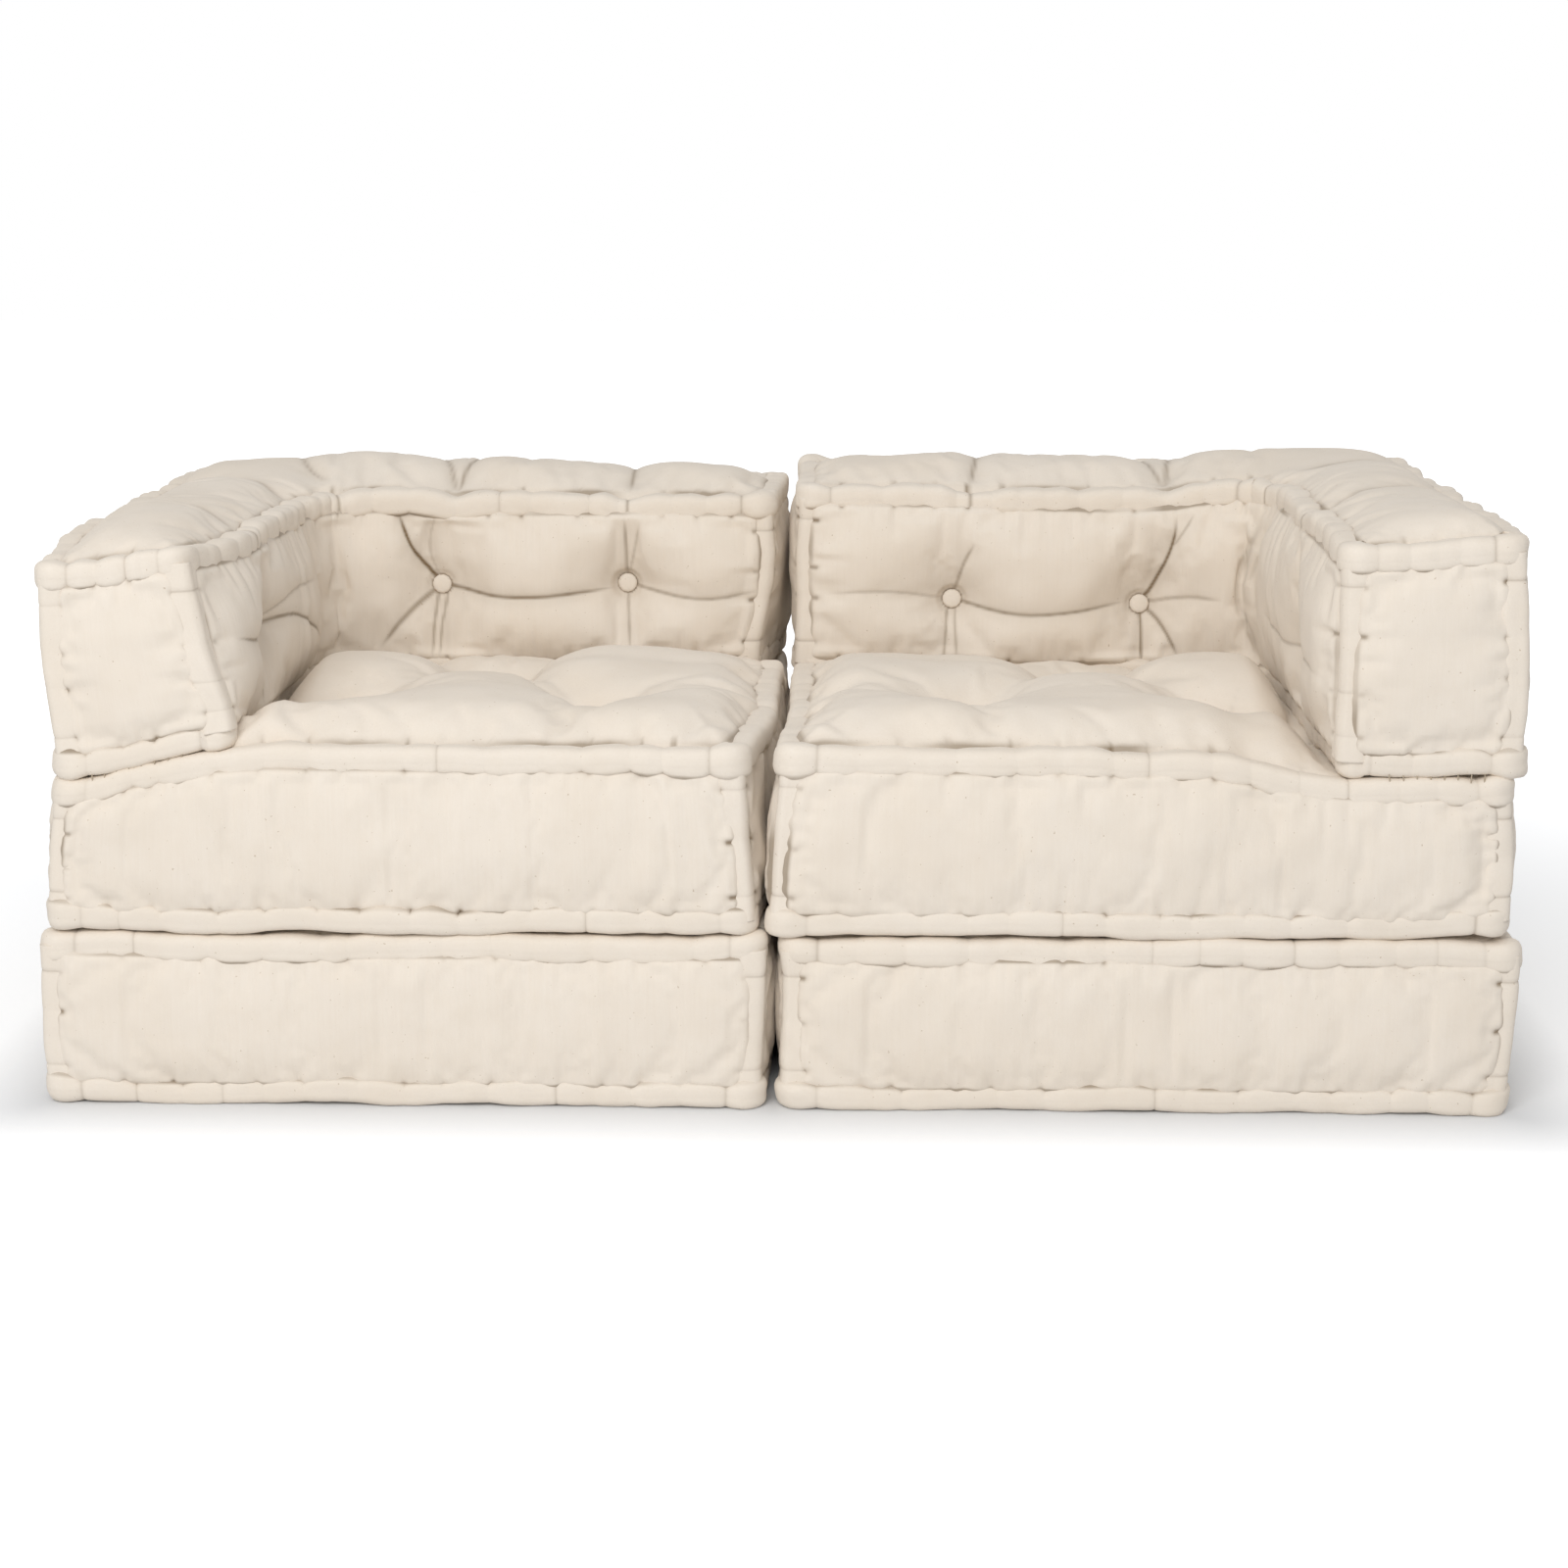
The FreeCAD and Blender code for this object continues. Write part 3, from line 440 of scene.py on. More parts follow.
    def spot(self, words):
        """The place that three words name."""
        xs = {"outer": self.x0, "arm": self.face_x, "middle": (self.x0 + self.x1) / 2, "inner": self.x1}
        ys = {"front": self.y0, "back": self.face_y, "rear": self.y1}
        zs = {"low": self.low, "mid": (self.low + self.high) / 2, "high": self.high}
        return np.array((xs[words[0]], ys[words[1]], zs[words[2]]))

    def settle(self, co):
        """Points of the cushion after it has slumped."""
        move = np.zeros_like(co)
        if self.kind == "corner":
            # the arm's end is lifted by the seat's front edge, which climbs under it
            seat_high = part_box(f"{self.side}_seat_top_roll")[1].z
            lower = 1 - climb(co[:, 2], self.low, self.low + 0.6 * (self.high - self.low))
            over = 1 - climb(co[:, 0], self.face_x + 20 * MM, self.face_x + 60 * MM)
            climbed = (seat_high - self.pressed) * self.front_climb(co) * self.frontness(co)
            move[:, 2] += climbed * lower * over
        for words, reach, way in SLUMPS[self.name]:
            gap = np.linalg.norm(co - self.spot(words), axis=1)
            move += bell(gap, reach * MM)[:, None] * np.array(way) * MM
        if self.kind == "corner":
            front = 1 - np.clip((co[:, 1] - self.face_y) / (self.y1 - self.face_y), 0, 1)
            along = climb(co[:, 0], self.face_x + 10 * MM, self.face_x + 130 * MM)
            upper = climb(co[:, 2], (self.low + self.high) / 2 - 20 * MM, self.high)
            move[:, 2] -= BACK_DROOP[self.side] * MM * front * along * upper
        return co + move

    def settled(self, place):
        """One place after the cushion has slumped."""
        return self.settle(place[None, :])[0]


def nearest_stitch(value, places, pulls, across):
    """Distance to the nearest stitch, how hard it pulls, and how far it creases right across."""
    gap = np.abs(value[:, None] - places[None, :])
    k = gap.argmin(axis=1)
    return gap[np.arange(len(value)), k], pulls[k], across[k]


# Meshes

def read(mesh, what="co"):
    """The vertices' places or normals."""
    values = np.zeros(len(mesh.vertices) * 3)
    mesh.vertices.foreach_get(what, values)
    return values.reshape(-1, 3)


def write(mesh, co):
    mesh.vertices.foreach_set("co", co.ravel())
    mesh.update()


def store(mesh, name, values):
    """An attribute on the vertices: one number, or a vector, for each."""
    kind = "FLOAT_VECTOR" if values.ndim == 2 else "FLOAT"
    layer = mesh.attributes.get(name) or mesh.attributes.new(name, kind, "POINT")
    layer.data.foreach_set("vector" if values.ndim == 2 else "value", values.astype(np.float32).ravel())


def fetch(mesh, name):
    """A vector attribute of the vertices."""
    values = np.zeros(len(mesh.vertices) * 3)
    mesh.attributes[name].data.foreach_get("vector", values)
    return values.reshape(-1, 3)


def new_object(name, bm, material):
    mesh = bpy.data.meshes.new(name)
    bm.to_mesh(mesh)
    bm.free()
    obj = bpy.data.objects.new(name, mesh)
    bpy.context.scene.collection.objects.link(obj)
    mesh.shade_smooth()
    mesh.materials.append(material)
    return obj


def place_piece(obj, cushion, slot, *nodes):
    """Mirrors a finished piece where it belongs, hangs it on the body that it rides on, and hides the nodes
    that it stands for.
    """
    mesh = obj.data
    if cushion.mirrored:
        write(mesh, read(mesh) * (-1, 1, 1))
    bm = bmesh.new()
    bm.from_mesh(mesh)
    bmesh.ops.recalc_face_normals(bm, faces=bm.faces)
    bm.to_mesh(mesh)
    bm.free()
    mesh.shade_smooth()
    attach(obj, cushion.body)
    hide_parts(*[f"{cushion.name}_{node}" for node in nodes])


def joined(name, objs):
    """Several meshes as one piece."""
    bm = bmesh.new()
    for obj in objs:
        bm.from_mesh(obj.data)
    material = objs[0].data.materials[0]
    for obj in objs:
        mesh = obj.data
        bpy.data.objects.remove(obj)
        bpy.data.meshes.remove(mesh)
    return new_object(name, bm, material)


def islands(node):
    """The points of each solid of a node, in the left module's place."""
    bm = bmesh.new()
    bm.from_mesh(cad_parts[node].data)
    bmesh.ops.remove_doubles(bm, verts=bm.verts[:], dist=SAME_PLACE)
    groups, seen = [], set()
    for first in bm.verts:
        if first in seen:
            continue
        seen.add(first)
        group, rim = [], [first]
        while rim:
            vert = rim.pop()
            group.append((-abs(vert.co.x), vert.co.y, vert.co.z))
            for link in vert.link_edges:
                other = link.other_vert(vert)
                if other not in seen:
                    seen.add(other)
                    rim.append(other)
        groups.append(np.array(group))
    bm.free()
    return groups


def node_places(node, axis=None):
    """The middle of each group of a node's solids, or its highest point along an axis."""
    places = []
    for points in islands(node):
        middle = (points.min(axis=0) + points.max(axis=0)) / 2
        if axis is not None:
            middle[axis] = points[:, axis].max()
        same = [place for place in places if np.linalg.norm(place[:2] - middle[:2]) < 0.02]
        if not same:
            places.append(middle)
        elif axis is not None:
            same[0][axis] = max(same[0][axis], middle[axis])
    return sorted(places, key=lambda place: (round(place[1], 3), round(place[0], 3)))


# Cushion bodies

def split_along(bm, axis, cell):
    """Cuts every edge that runs along an axis into cells."""
    runs = {}
    for edge in bm.edges:
        way = edge.verts[1].co - edge.verts[0].co
        if abs(way[axis]) > 0.99 * way.length:
            runs.setdefault(round(way.length, 5), []).append(edge)
    for run, edges in runs.items():
        bmesh.ops.subdivide_edges(bm, edges=edges, cuts=round(run / cell) - 1, use_grid_fill=True)


def block(cushion):
    """A gridded block with the cushion's plan, its edges at the panels' seams."""
    size = sizes()
    bm = bmesh.new()
    sides = cushion.sides(size.panel_inset)
    low, high = cushion.low + size.panel_inset, cushion.high - size.panel_inset
    xs = sorted({round(float(start[0]), 6) for start, _, _ in sides})
    ys = sorted({round(float(start[1]), 6) for start, _, _ in sides})
    verts = {(x, y): bm.verts.new((x, y, low)) for x in xs for y in ys}
    for i, (xa, xb) in enumerate(zip(xs, xs[1:])):
        for j, (ya, yb) in enumerate(zip(ys, ys[1:])):
            if cushion.kind != "corner" or i == 0 or j == 1:
                bm.faces.new([verts[xa, ya], verts[xa, yb], verts[xb, yb], verts[xb, ya]])
    bmesh.ops.delete(bm, geom=[v for v in bm.verts if not v.link_faces], context="VERTS")
    grown = bmesh.ops.extrude_face_region(bm, geom=bm.faces[:])
    lifted = [item for item in grown["geom"] if isinstance(item, bmesh.types.BMVert)]
    bmesh.ops.translate(bm, vec=(0, 0, high - low), verts=lifted)
    bmesh.ops.recalc_face_normals(bm, faces=bm.faces)
    for axis in range(3):
        split_along(bm, axis, size.cell)
    return bm


# How far a roll covers a panel from the cushion's outer plane, in roll radii
RIM = 1.62


class Cloth:
    """Which panel each vertex of a block lies on, and how far it is from that panel's seams."""

    def __init__(self, cushion, flat):
        size = sizes()
        self.flat = flat
        self.low, self.high = cushion.low + size.panel_inset, cushion.high - size.panel_inset
        xy, z = flat[:, :2], flat[:, 2]
        self.top, self.bottom = z > self.high - ON_PLANE, z < self.low + ON_PLANE
        self.edge = np.full(len(flat), FAR)
        self.sides = []
        for k, (start, end, out) in enumerate(cushion.sides(size.panel_inset)):
            gap, share = to_segment(xy, start, end)
            run = np.linalg.norm(end - start)
            from_start, from_end = share * run, (1 - share) * run
            bend_start, bend_end = (cushion.bend_at is not None and k == turn for turn in (2, 1))
            ends = np.minimum(FAR if bend_start else from_start, FAR if bend_end else from_end)
            self.sides.append({"on": gap < ON_PLANE, "gap": gap, "out": out, "ends": ends,
                               "near_end": from_end < from_start, "along": from_start + size.panel_inset})
            self.edge = np.minimum(self.edge, gap)
        self.upright = np.minimum(z - self.low, self.high - z)
        # where the rolls' rims cover the panels
        self.side_rim = self.flat_rim = RIM * size.roll_radius - size.panel_inset
        self.end_rim = self.side_rim + size.upright_inset


def tuft_places(cushion):
    """Each tuft of a cushion: its place and the way in."""
    if cushion.kind == "seat":
        return [(place, np.array((0.0, 0, -1))) for place in node_places(f"{cushion.name}_tuft_twine", 2)]
    tufts = []
    if cushion.kind == "corner":
        for node, sign in (("inside_buttons", 1), ("outside_buttons", -1)):
            for place in node_places(f"{cushion.name}_{node}"):
                way = (-1.0, 0, 0) if place[1] < 0 else (0, 1.0, 0)
                tufts.append((place, np.array(way) * sign))
    return tufts


# How far from the corner cushion's inner corner the cloth of both faces is drawn round it
BEND_REACH = 90 * MM


def stuffed(cushion, cloth):
    """The block's vertices moved to the stuffed shape, before it is inflated."""
    size = sizes()
    co = cloth.flat.copy()
    xy = cloth.flat[:, :2]
    share = (cloth.flat[:, 2] - cushion.low) / (cushion.high - cushion.low)
    co[:, 2] = cushion.low + share * (cushion.level(xy) - cushion.low)
    swell = stuffed_rise(cloth.edge)
    crown = np.zeros(len(co))
    if cushion.kind == "seat":
        crown = size.seat_crown * cushion.freedom(xy) * climb(cushion.face_y - xy[:, 1], 0.0, 170 * MM)
    if cushion.kind == "corner":
        on_arm = climb(cushion.face_y - xy[:, 1], -40 * MM, 100 * MM)
        crown = size.corner_crown * np.maximum(on_arm, climb(cushion.y1 - xy[:, 1], 10 * MM, 120 * MM))
    broad = rise(cloth.edge, 60 * MM)
    co[:, 2] += cloth.top * (swell * size.panel_inset + broad * crown)
    co[:, 2] -= cloth.bottom * swell * size.panel_inset
    for k, side in enumerate(cloth.sides):
        puff = stuffed_rise(cloth.upright) * stuffed_rise(side["ends"]) * (size.panel_inset - size.panel_sink)
        if cushion.kind == "corner" and k in (1, 2):
            puff = puff + size.face_bulge * rise(cloth.upright, 70 * MM) * rise(side["ends"], 90 * MM)
            other = cloth.sides[3 - k]
            to_bend = np.linalg.norm(xy - cushion.sides(size.panel_inset)[2][0], axis=1)
            near_bend = (1 - np.clip(to_bend / BEND_REACH, 0, 1)) ** 2 * ~other["on"]
            co[:, :2] += (side["on"] * puff * near_bend)[:, None] * other["out"]
        co[:, :2] += (side["on"] * puff)[:, None] * side["out"]
    co[:, :2] = cushion.bent(co[:, :2])
    return co


def round_axis(co, place, inward):
    """How deep points lie behind a place on an axis that points inward, and their distance from that axis."""
    offset = co - place
    deep = offset @ inward
    return deep, np.linalg.norm(offset - deep[:, None] * inward, axis=1)


def pull_tufts(cushion, co, tufts):
    """Draws the cloth in to each tuft's floor, steeply at the floor and broadly round it."""
    near, far = (30 * MM, 70 * MM) if cushion.kind == "seat" else (20 * MM, 50 * MM)
    for place, inward in tufts:
        deep, radial = round_axis(co, place, inward)
        close = (deep < 30 * MM) & (deep > -70 * MM)
        weight = 0.55 * fade(radial, near) + 0.45 * bell(radial, far)
        centre = close & (radial < 12 * MM)
        depth = max(0.0, -float(deep[centre].mean())) if centre.any() else 0.0
        co = co + (close * weight * depth)[:, None] * inward
    return co


def pinned(cushion, cloth, co, tufts):
    """The vertices that inflating leaves in place: at seams and tufts, and where the cloth is pressed."""
    cell = sizes().cell
    pins = (cloth.edge < cell) & (cloth.upright < cell)
    for side in cloth.sides:
        pins |= side["on"] & ((side["ends"] < 1.6 * cell) | (cloth.upright < 1.6 * cell))
    pins |= cloth.bottom
    if cushion.kind == "base":
        pins |= cloth.top
    if cushion.kind == "seat":
        pins |= cloth.top & (cushion.freedom(cloth.flat[:, :2]) < 0.05)
    for place, _ in tufts:
        pins |= np.linalg.norm(co - place, axis=1) < 14 * MM
    return pins


def inflate(obj, pins):
    """Blows the cloth up a little against its pins, then keeps each vertex within the cap."""
    size = sizes()
    start = read(obj.data)
    obj.vertex_groups.new(name="sewn").add([int(k) for k in np.nonzero(pins)[0]], 1.0, "REPLACE")
    modifier = obj.modifiers.new("inflate", "CLOTH")
    settings = modifier.settings
    settings.quality = 4
    settings.use_pressure = True
    settings.uniform_pressure_force = 4
    settings.effector_weights.gravity = 0
    settings.vertex_group_mass = "sewn"
    settings.shrink_min = settings.shrink_max = -0.03
    settings.tension_stiffness = settings.compression_stiffness = 15
    settings.shear_stiffness = 5
    settings.bending_stiffness = 0.4
    modifier.collision_settings.use_collision = False
    modifier.point_cache.frame_end = size.swell_frames + 1
    for number in range(1, size.swell_frames + 1):
        bpy.context.scene.frame_set(number)
    shown = obj.evaluated_get(bpy.context.evaluated_depsgraph_get())
    swollen = read(shown.data)
    obj.modifiers.remove(modifier)
    obj.vertex_groups.clear()
    bpy.context.scene.frame_set(1)
    move = swollen - start
    far = np.linalg.norm(move, axis=1) + 1e-9
    cap = size.swell_cap
    return start + move * (cap * np.tanh(far / cap) / far)[:, None]


def refine(obj, cushion):
    """Halves the cells that show, twice on the panels that face the room, and rounds the cloth."""
    bm = bmesh.new()
    bm.from_mesh(obj.data)
    layer = bm.verts.layers.float_vector["cloth"]
    facing = (0, 1, 2) if cushion.kind == "corner" else (0,)
    for level in range(2):
        cloth = Cloth(cushion, np.array([v[layer] for v in bm.verts]))
        if level == 0:
            hidden = cloth.bottom | (cloth.top & (cushion.kind == "base"))
            chosen = ~hidden | (cloth.edge < 30 * MM)
        else:
            chosen = np.zeros(len(cloth.flat), bool)
            for k in facing:
                chosen |= cloth.sides[k]["on"]
        bm.verts.index_update()
        edges = [e for e in bm.edges if chosen[e.verts[0].index] and chosen[e.verts[1].index]]
        bmesh.ops.subdivide_edges(bm, edges=edges, cuts=1, use_grid_fill=True)
        bmesh.ops.smooth_vert(bm, verts=bm.verts[:], factor=0.5,
                              use_axis_x=True, use_axis_y=True, use_axis_z=True)
    bm.to_mesh(obj.data)
    bm.free()


def rest_planes(cushion, cloth, co):
    """Keeps the cloth off its neighbours above and below, and flat where it rests."""
    co[:, 2] = np.where(cloth.bottom, np.maximum(co[:, 2], cushion.low + COVER_GAP), co[:, 2])
    if cushion.kind == "base":
        co[:, 2] = np.where(cloth.top, np.minimum(co[:, 2], cushion.high - COVER_GAP), co[:, 2])
    return co


def off_floor(cushion, co):
    """Keeps a base cushion's cloth off the floor."""
    if cushion.kind == "base":
        co[:, 2] = np.maximum(co[:, 2], REST_GAP)
    return co


class Dents:
    """Moves along a cloth's normals, with the shade painted into their hollows, added up over many causes."""

    def __init__(self, count):
        self.move, self.shade = np.zeros(count), np.zeros(count)

    def add(self, move, shade=0):
        self.move += move
        self.shade = np.maximum(self.shade, shade)

    def limit(self, deepest):
        """Keeps every dent shallower than that."""
        self.move = np.where(self.move < 0, deepest * np.tanh(self.move / deepest), self.move)


# The deepest dent in a corner cushion's cloth
DEEPEST = 15 * MM


def calm_normals(mesh, rounds=40):
    """The vertices' normals, averaged with their neighbours', so that deep creases don't fold over."""
    ends = np.zeros(len(mesh.edges) * 2, dtype=np.int32)
    mesh.edges.foreach_get("vertices", ends)
    a, b = ends.reshape(-1, 2).T
    normals = read(mesh, "normal")
    count = len(normals)
    share = np.bincount(a, minlength=count) + np.bincount(b, minlength=count) + 1
    for _ in range(rounds):
        total = normals.copy()
        for axis in range(3):
            nearby = np.bincount(a, normals[b, axis], count) + np.bincount(b, normals[a, axis], count)
            total[:, axis] += nearby
        normals = total / share[:, None]
    return normals / np.linalg.norm(normals, axis=1)[:, None]


# The pit at a stitch: its width at the seam, how much it widens into the panel, its reach, and its depth in
# millimetres
PIT_WIDTH, PIT_SPREAD, PIT_REACH, PIT_DEPTH = 3.2 * MM, 0.30, 13 * MM, 2.4
# The puckers between stitches: their spacing, how slowly they change away from the seam, their reach, and
# their height in millimetres
PUCKER_SPACING, PUCKER_SLOWNESS, PUCKER_REACH, PUCKER_HEIGHT = 22 * MM, 0.15, 17 * MM, 0.55
# How much harder the seat's top is pinched along its inner side than elsewhere
STRONG_PULL = 2.0


def gather(mask, along, away, stitch, seed, strong, dents):
    """Puckers and pits where one panel meets one roll, given its distance from that roll, with painted shade
    in the pits.
    """
    gap, pull, _ = stitch
    away = np.maximum(away, 0)
    pinch = bell(gap, PIT_WIDTH + PIT_SPREAD * away) * fade(away, PIT_REACH * strong) * pull
    pucker = waves(np.column_stack((along, away * PUCKER_SLOWNESS)), PUCKER_SPACING, seed)
    pucker = pucker * fade(away, PUCKER_REACH) * PUCKER_HEIGHT * MM
    # the pits get painted shade close to the seam
    dents.add(mask * strong * (pucker - pinch * PIT_DEPTH * MM), mask * pinch * fade(away, 3.5 * MM))


def seam_gathers(cushion, cloth, dents):
    """Puckers and pits that run into the panels from the stitches of every roll."""
    count = len(cloth.sides)
    for k, side in enumerate(cloth.sides):
        for level in (0, 1):
            stitch = nearest_stitch(side["along"], *cushion.level_stitches(level, k))
            away = np.abs(cloth.flat[:, 2] - (cloth.high if level else cloth.low)) - cloth.side_rim
            gather(side["on"], side["along"], away, stitch, cushion.seed + 7 * k + level, 1.0, dents)
            strong = STRONG_PULL if cushion.kind == "seat" and level and k == 1 else 1.0
            panel, away = cloth.top if level else cloth.bottom, side["gap"] - cloth.flat_rim
            gather(panel, side["along"], away, stitch, cushion.seed + 7 * k + level + 2, strong, dents)
        for corner, at_end in ((k, False), ((k + 1) % count, True)):
            if cushion.bend_at is None or corner != 2:
                heights = cloth.flat[:, 2] - cloth.low
                stitch = nearest_stitch(heights, *cushion.upright_stitches(corner))
                mask = side["on"] & (side["near_end"] == at_end)
                away = side["ends"] - cloth.end_rim
                gather(mask, heights, away, stitch, cushion.seed + 7 * k + 4, 1.0, dents)


# How far under an upright roll's rim the painted shade of its seam lies
UNDER_UPRIGHT = 4.5 * MM
# How dark the painted shade at the bottom of a seam is at most
SEAM_DARK = 0.75


def seam_shade(cloth, co, seed, dents):
    """The painted shade at the bottom of each seam, behind the rolls, fainter here and there."""
    near = np.full(len(cloth.flat), FAR)
    for side in cloth.sides:
        on = np.minimum(cloth.upright - cloth.side_rim, side["ends"] - cloth.end_rim + UNDER_UPRIGHT)
        near = np.where(side["on"], np.minimum(near, on), near)
    near = np.where(near == FAR, cloth.edge - cloth.flat_rim, near)
    patchy = np.clip(0.6 + 0.5 * waves(co, 90 * MM, seed), 0.2, 1)
    dents.add(0, SEAM_DARK * patchy * (1 - climb(near, -0.5 * MM, 2.4 * MM)))


# How far a button's cloth is kept free of creases
BUTTON_CALM = 24 * MM
# How deep behind or before a tuft's place the cloth still belongs to it
TUFT_DEPTH = 50 * MM
# The cloth behind a button: flat up to the first radius, and its own shape again past the second
BUTTON_BED = (11 * MM, 18 * MM)
# The ring of painted shade round a button, and how dark it is
BUTTON_RING, RING_DARK = (10.5 * MM, 13.0 * MM), 0.9
# The fainter painted shade of the hollow round a button, and how dark it is
HOLLOW_REACH, HOLLOW_DARK = 34 * MM, 0.30


def calm_buttons(cushion, co, tufts, dents):
    """Keeps the creases out of the cloth right round each button."""
    for place, _ in tufts:
        dents.move *= 1 - bell(np.linalg.norm(co - cushion.settled(place), axis=1), BUTTON_CALM)


def bed_buttons(cushion, co, tufts, dents):
    """Lays the cloth flat behind each button, with a ring of painted shade round it and fainter painted shade
    over its hollow.
    """
    for place, inward in tufts:
        deep, radial = round_axis(co, cushion.settled(place), inward)
        close = np.abs(deep) < TUFT_DEPTH
        here = close * (1 - climb(radial, *BUTTON_BED))
        co += (here * (BUTTON_SINK - deep))[:, None] * inward
        ring = here * (1 - climb(radial, *BUTTON_RING)) * RING_DARK
        dents.add(0, np.maximum(ring, close * bell(radial, HOLLOW_REACH) * HOLLOW_DARK))
    return co


def face_of(cloth, face):
    """The mask of a named face, and the two axes that its creases are drawn in."""
    back, arm = cloth.sides[2]["on"], cloth.sides[1]["on"]
    return {"top": (cloth.top, [0, 1]), "back": (back, [0, 2]), "arm": (arm, [1, 2]),
            "bend": (back | arm, [0, 2])}[face]


# A crease's valley: the shares of its sharp line and of its broad sides, which are so many times as wide
SHARP_SHARE, BROAD_SHARE, BROAD_WIDTH = 0.55, 0.75, 5.5
# A crease's painted shade: the width of its dark line in crease widths, the widest crease with a full dark
# line, how dark the painted dusk beside it is, how wide that is, and the depth from which a crease is fully
# shaded
DARK_WIDTH, FULL_DARK_WIDTH, DUSK, DUSK_WIDTH, FULL_DEPTH = 0.6, 4.2 * MM, 0.28, 12 * MM, 6 * MM
# How much deeper a crease is on each face than its list says, and how dark its painted shade is there
FACE_DEPTH = {"top": 1.4, "back": 1.15, "arm": 1.15, "bend": 1.15}
FACE_SHADE = {"top": 0.7, "back": 1.0, "arm": 1.0, "bend": 0.5}
# Where the bend's own creases start and where they are whole, along Y from the plane of the back's face
BEND_CREASES = (-85 * MM, -55 * MM)
# The rays round a tuft: how many, how far each may turn from its even place, and their shortest and longest
# run and depth in millimetres, their width, and how much longer they are on the seat
RAYS, RAY_STRAY, RAY_RUN, RAY_DEPTH, RAY_WIDTH, SEAT_RAYS = 7, 0.3, (22, 58), (0.8, 1.8), 2.6 * MM, 1.5


def add_crease(dents, gap, strength, depth, width, shade_strength=1.0):
    """A sharp line, darkened with painted shade, at the bottom of a broad valley between two swollen pillows.
    """
    valley = SHARP_SHARE * fade(gap, width) + BROAD_SHARE * bell(gap, BROAD_WIDTH * width)
    line = bell(gap, DARK_WIDTH * width) * min(1.0, FULL_DARK_WIDTH / width) ** 3
    dark = np.minimum(strength * (line + DUSK * bell(gap, DUSK_WIDTH)), 1)
    dents.add(-strength * depth * valley, dark * shade_strength * min(1.0, depth / FULL_DEPTH))


def draw_creases(cushion, cloth, co, tufts, dents):
    """The creases that the tufts and the folds draw across the corner cushion's faces."""
    buttons = [place for place, _ in tufts[:3]]
    starts = {"arm_button": buttons[0], "outer_button": buttons[1], "inner_button": buttons[2],
              "bend": np.array((*cushion.bend_at, buttons[1][2]))}
    for face, origin, points, depth, width in CREASES[cushion.name]:
        mask, axes = face_of(cloth, face)
        if face == "bend":
            mask = mask * climb(co[:, 1], *(cushion.face_y + start for start in BEND_CREASES))
        line = cushion.settled(starts[origin])[axes] + np.array(points) * MM
        gap, share = to_line(co[:, axes], rounded_line(line))
        if origin.endswith("button"):
            strength = rise(1 - share, 0.35)
        else:
            strength = rise(share, 0.25) * rise(1 - share, 0.25)
        add_crease(dents, gap, mask * strength, depth * MM * FACE_DEPTH[face], width * MM, FACE_SHADE[face])


def tuft_rays(cushion, co, tufts, dents):
    """Short creases that fan out from each tuft."""
    rng = np.random.default_rng(cushion.seed + 77)
    longer = SEAT_RAYS if cushion.kind == "seat" else 1.0
    for place, inward in tufts:
        axes = [axis for axis in range(3) if abs(inward[axis]) < 0.5]
        facing = np.abs((co - place) @ inward) < TUFT_DEPTH
        centre = cushion.settled(place)[axes]
        first = rng.uniform(0, 1)
        stray = rng.uniform(-RAY_STRAY, RAY_STRAY, RAYS)
        for turn in first + (np.arange(RAYS) + stray) * 2 * math.pi / RAYS:
            run = rng.uniform(*RAY_RUN) * MM * longer
            tip = centre + run * np.array((math.cos(turn), math.sin(turn)))
            gap, share = to_segment(co[:, axes], centre, tip)
            add_crease(dents, gap, facing * (1 - share), rng.uniform(*RAY_DEPTH) * MM, RAY_WIDTH)


# Two tufts are neighbours when they are closer than this many times the smallest distance between two
NEIGHBOURS = 1.25
# How far a valley between two tufts bows out, as a share of its length
VALLEY_BOW = 0.12
# Such a valley's depth in millimetres and its width, and those of the fold at its bottom
VALLEY_DEPTH, VALLEY_WIDTH, FOLD_DEPTH, FOLD_WIDTH = 12.0, 26 * MM, 2.0, 3.5 * MM
# The dimple at each tuft: its depth in millimetres and its width
DIMPLE_DEPTH, DIMPLE_WIDTH = 12, 20 * MM
# A tuft closer to an edge than this share of the cushion's width has a valley to that edge: how far its end
# may stray in millimetres, its depth in millimetres and its width
OUTERMOST, EDGE_STRAY, EDGE_DEPTH, EDGE_WIDTH = 0.45, 30, 7.0, 24 * MM


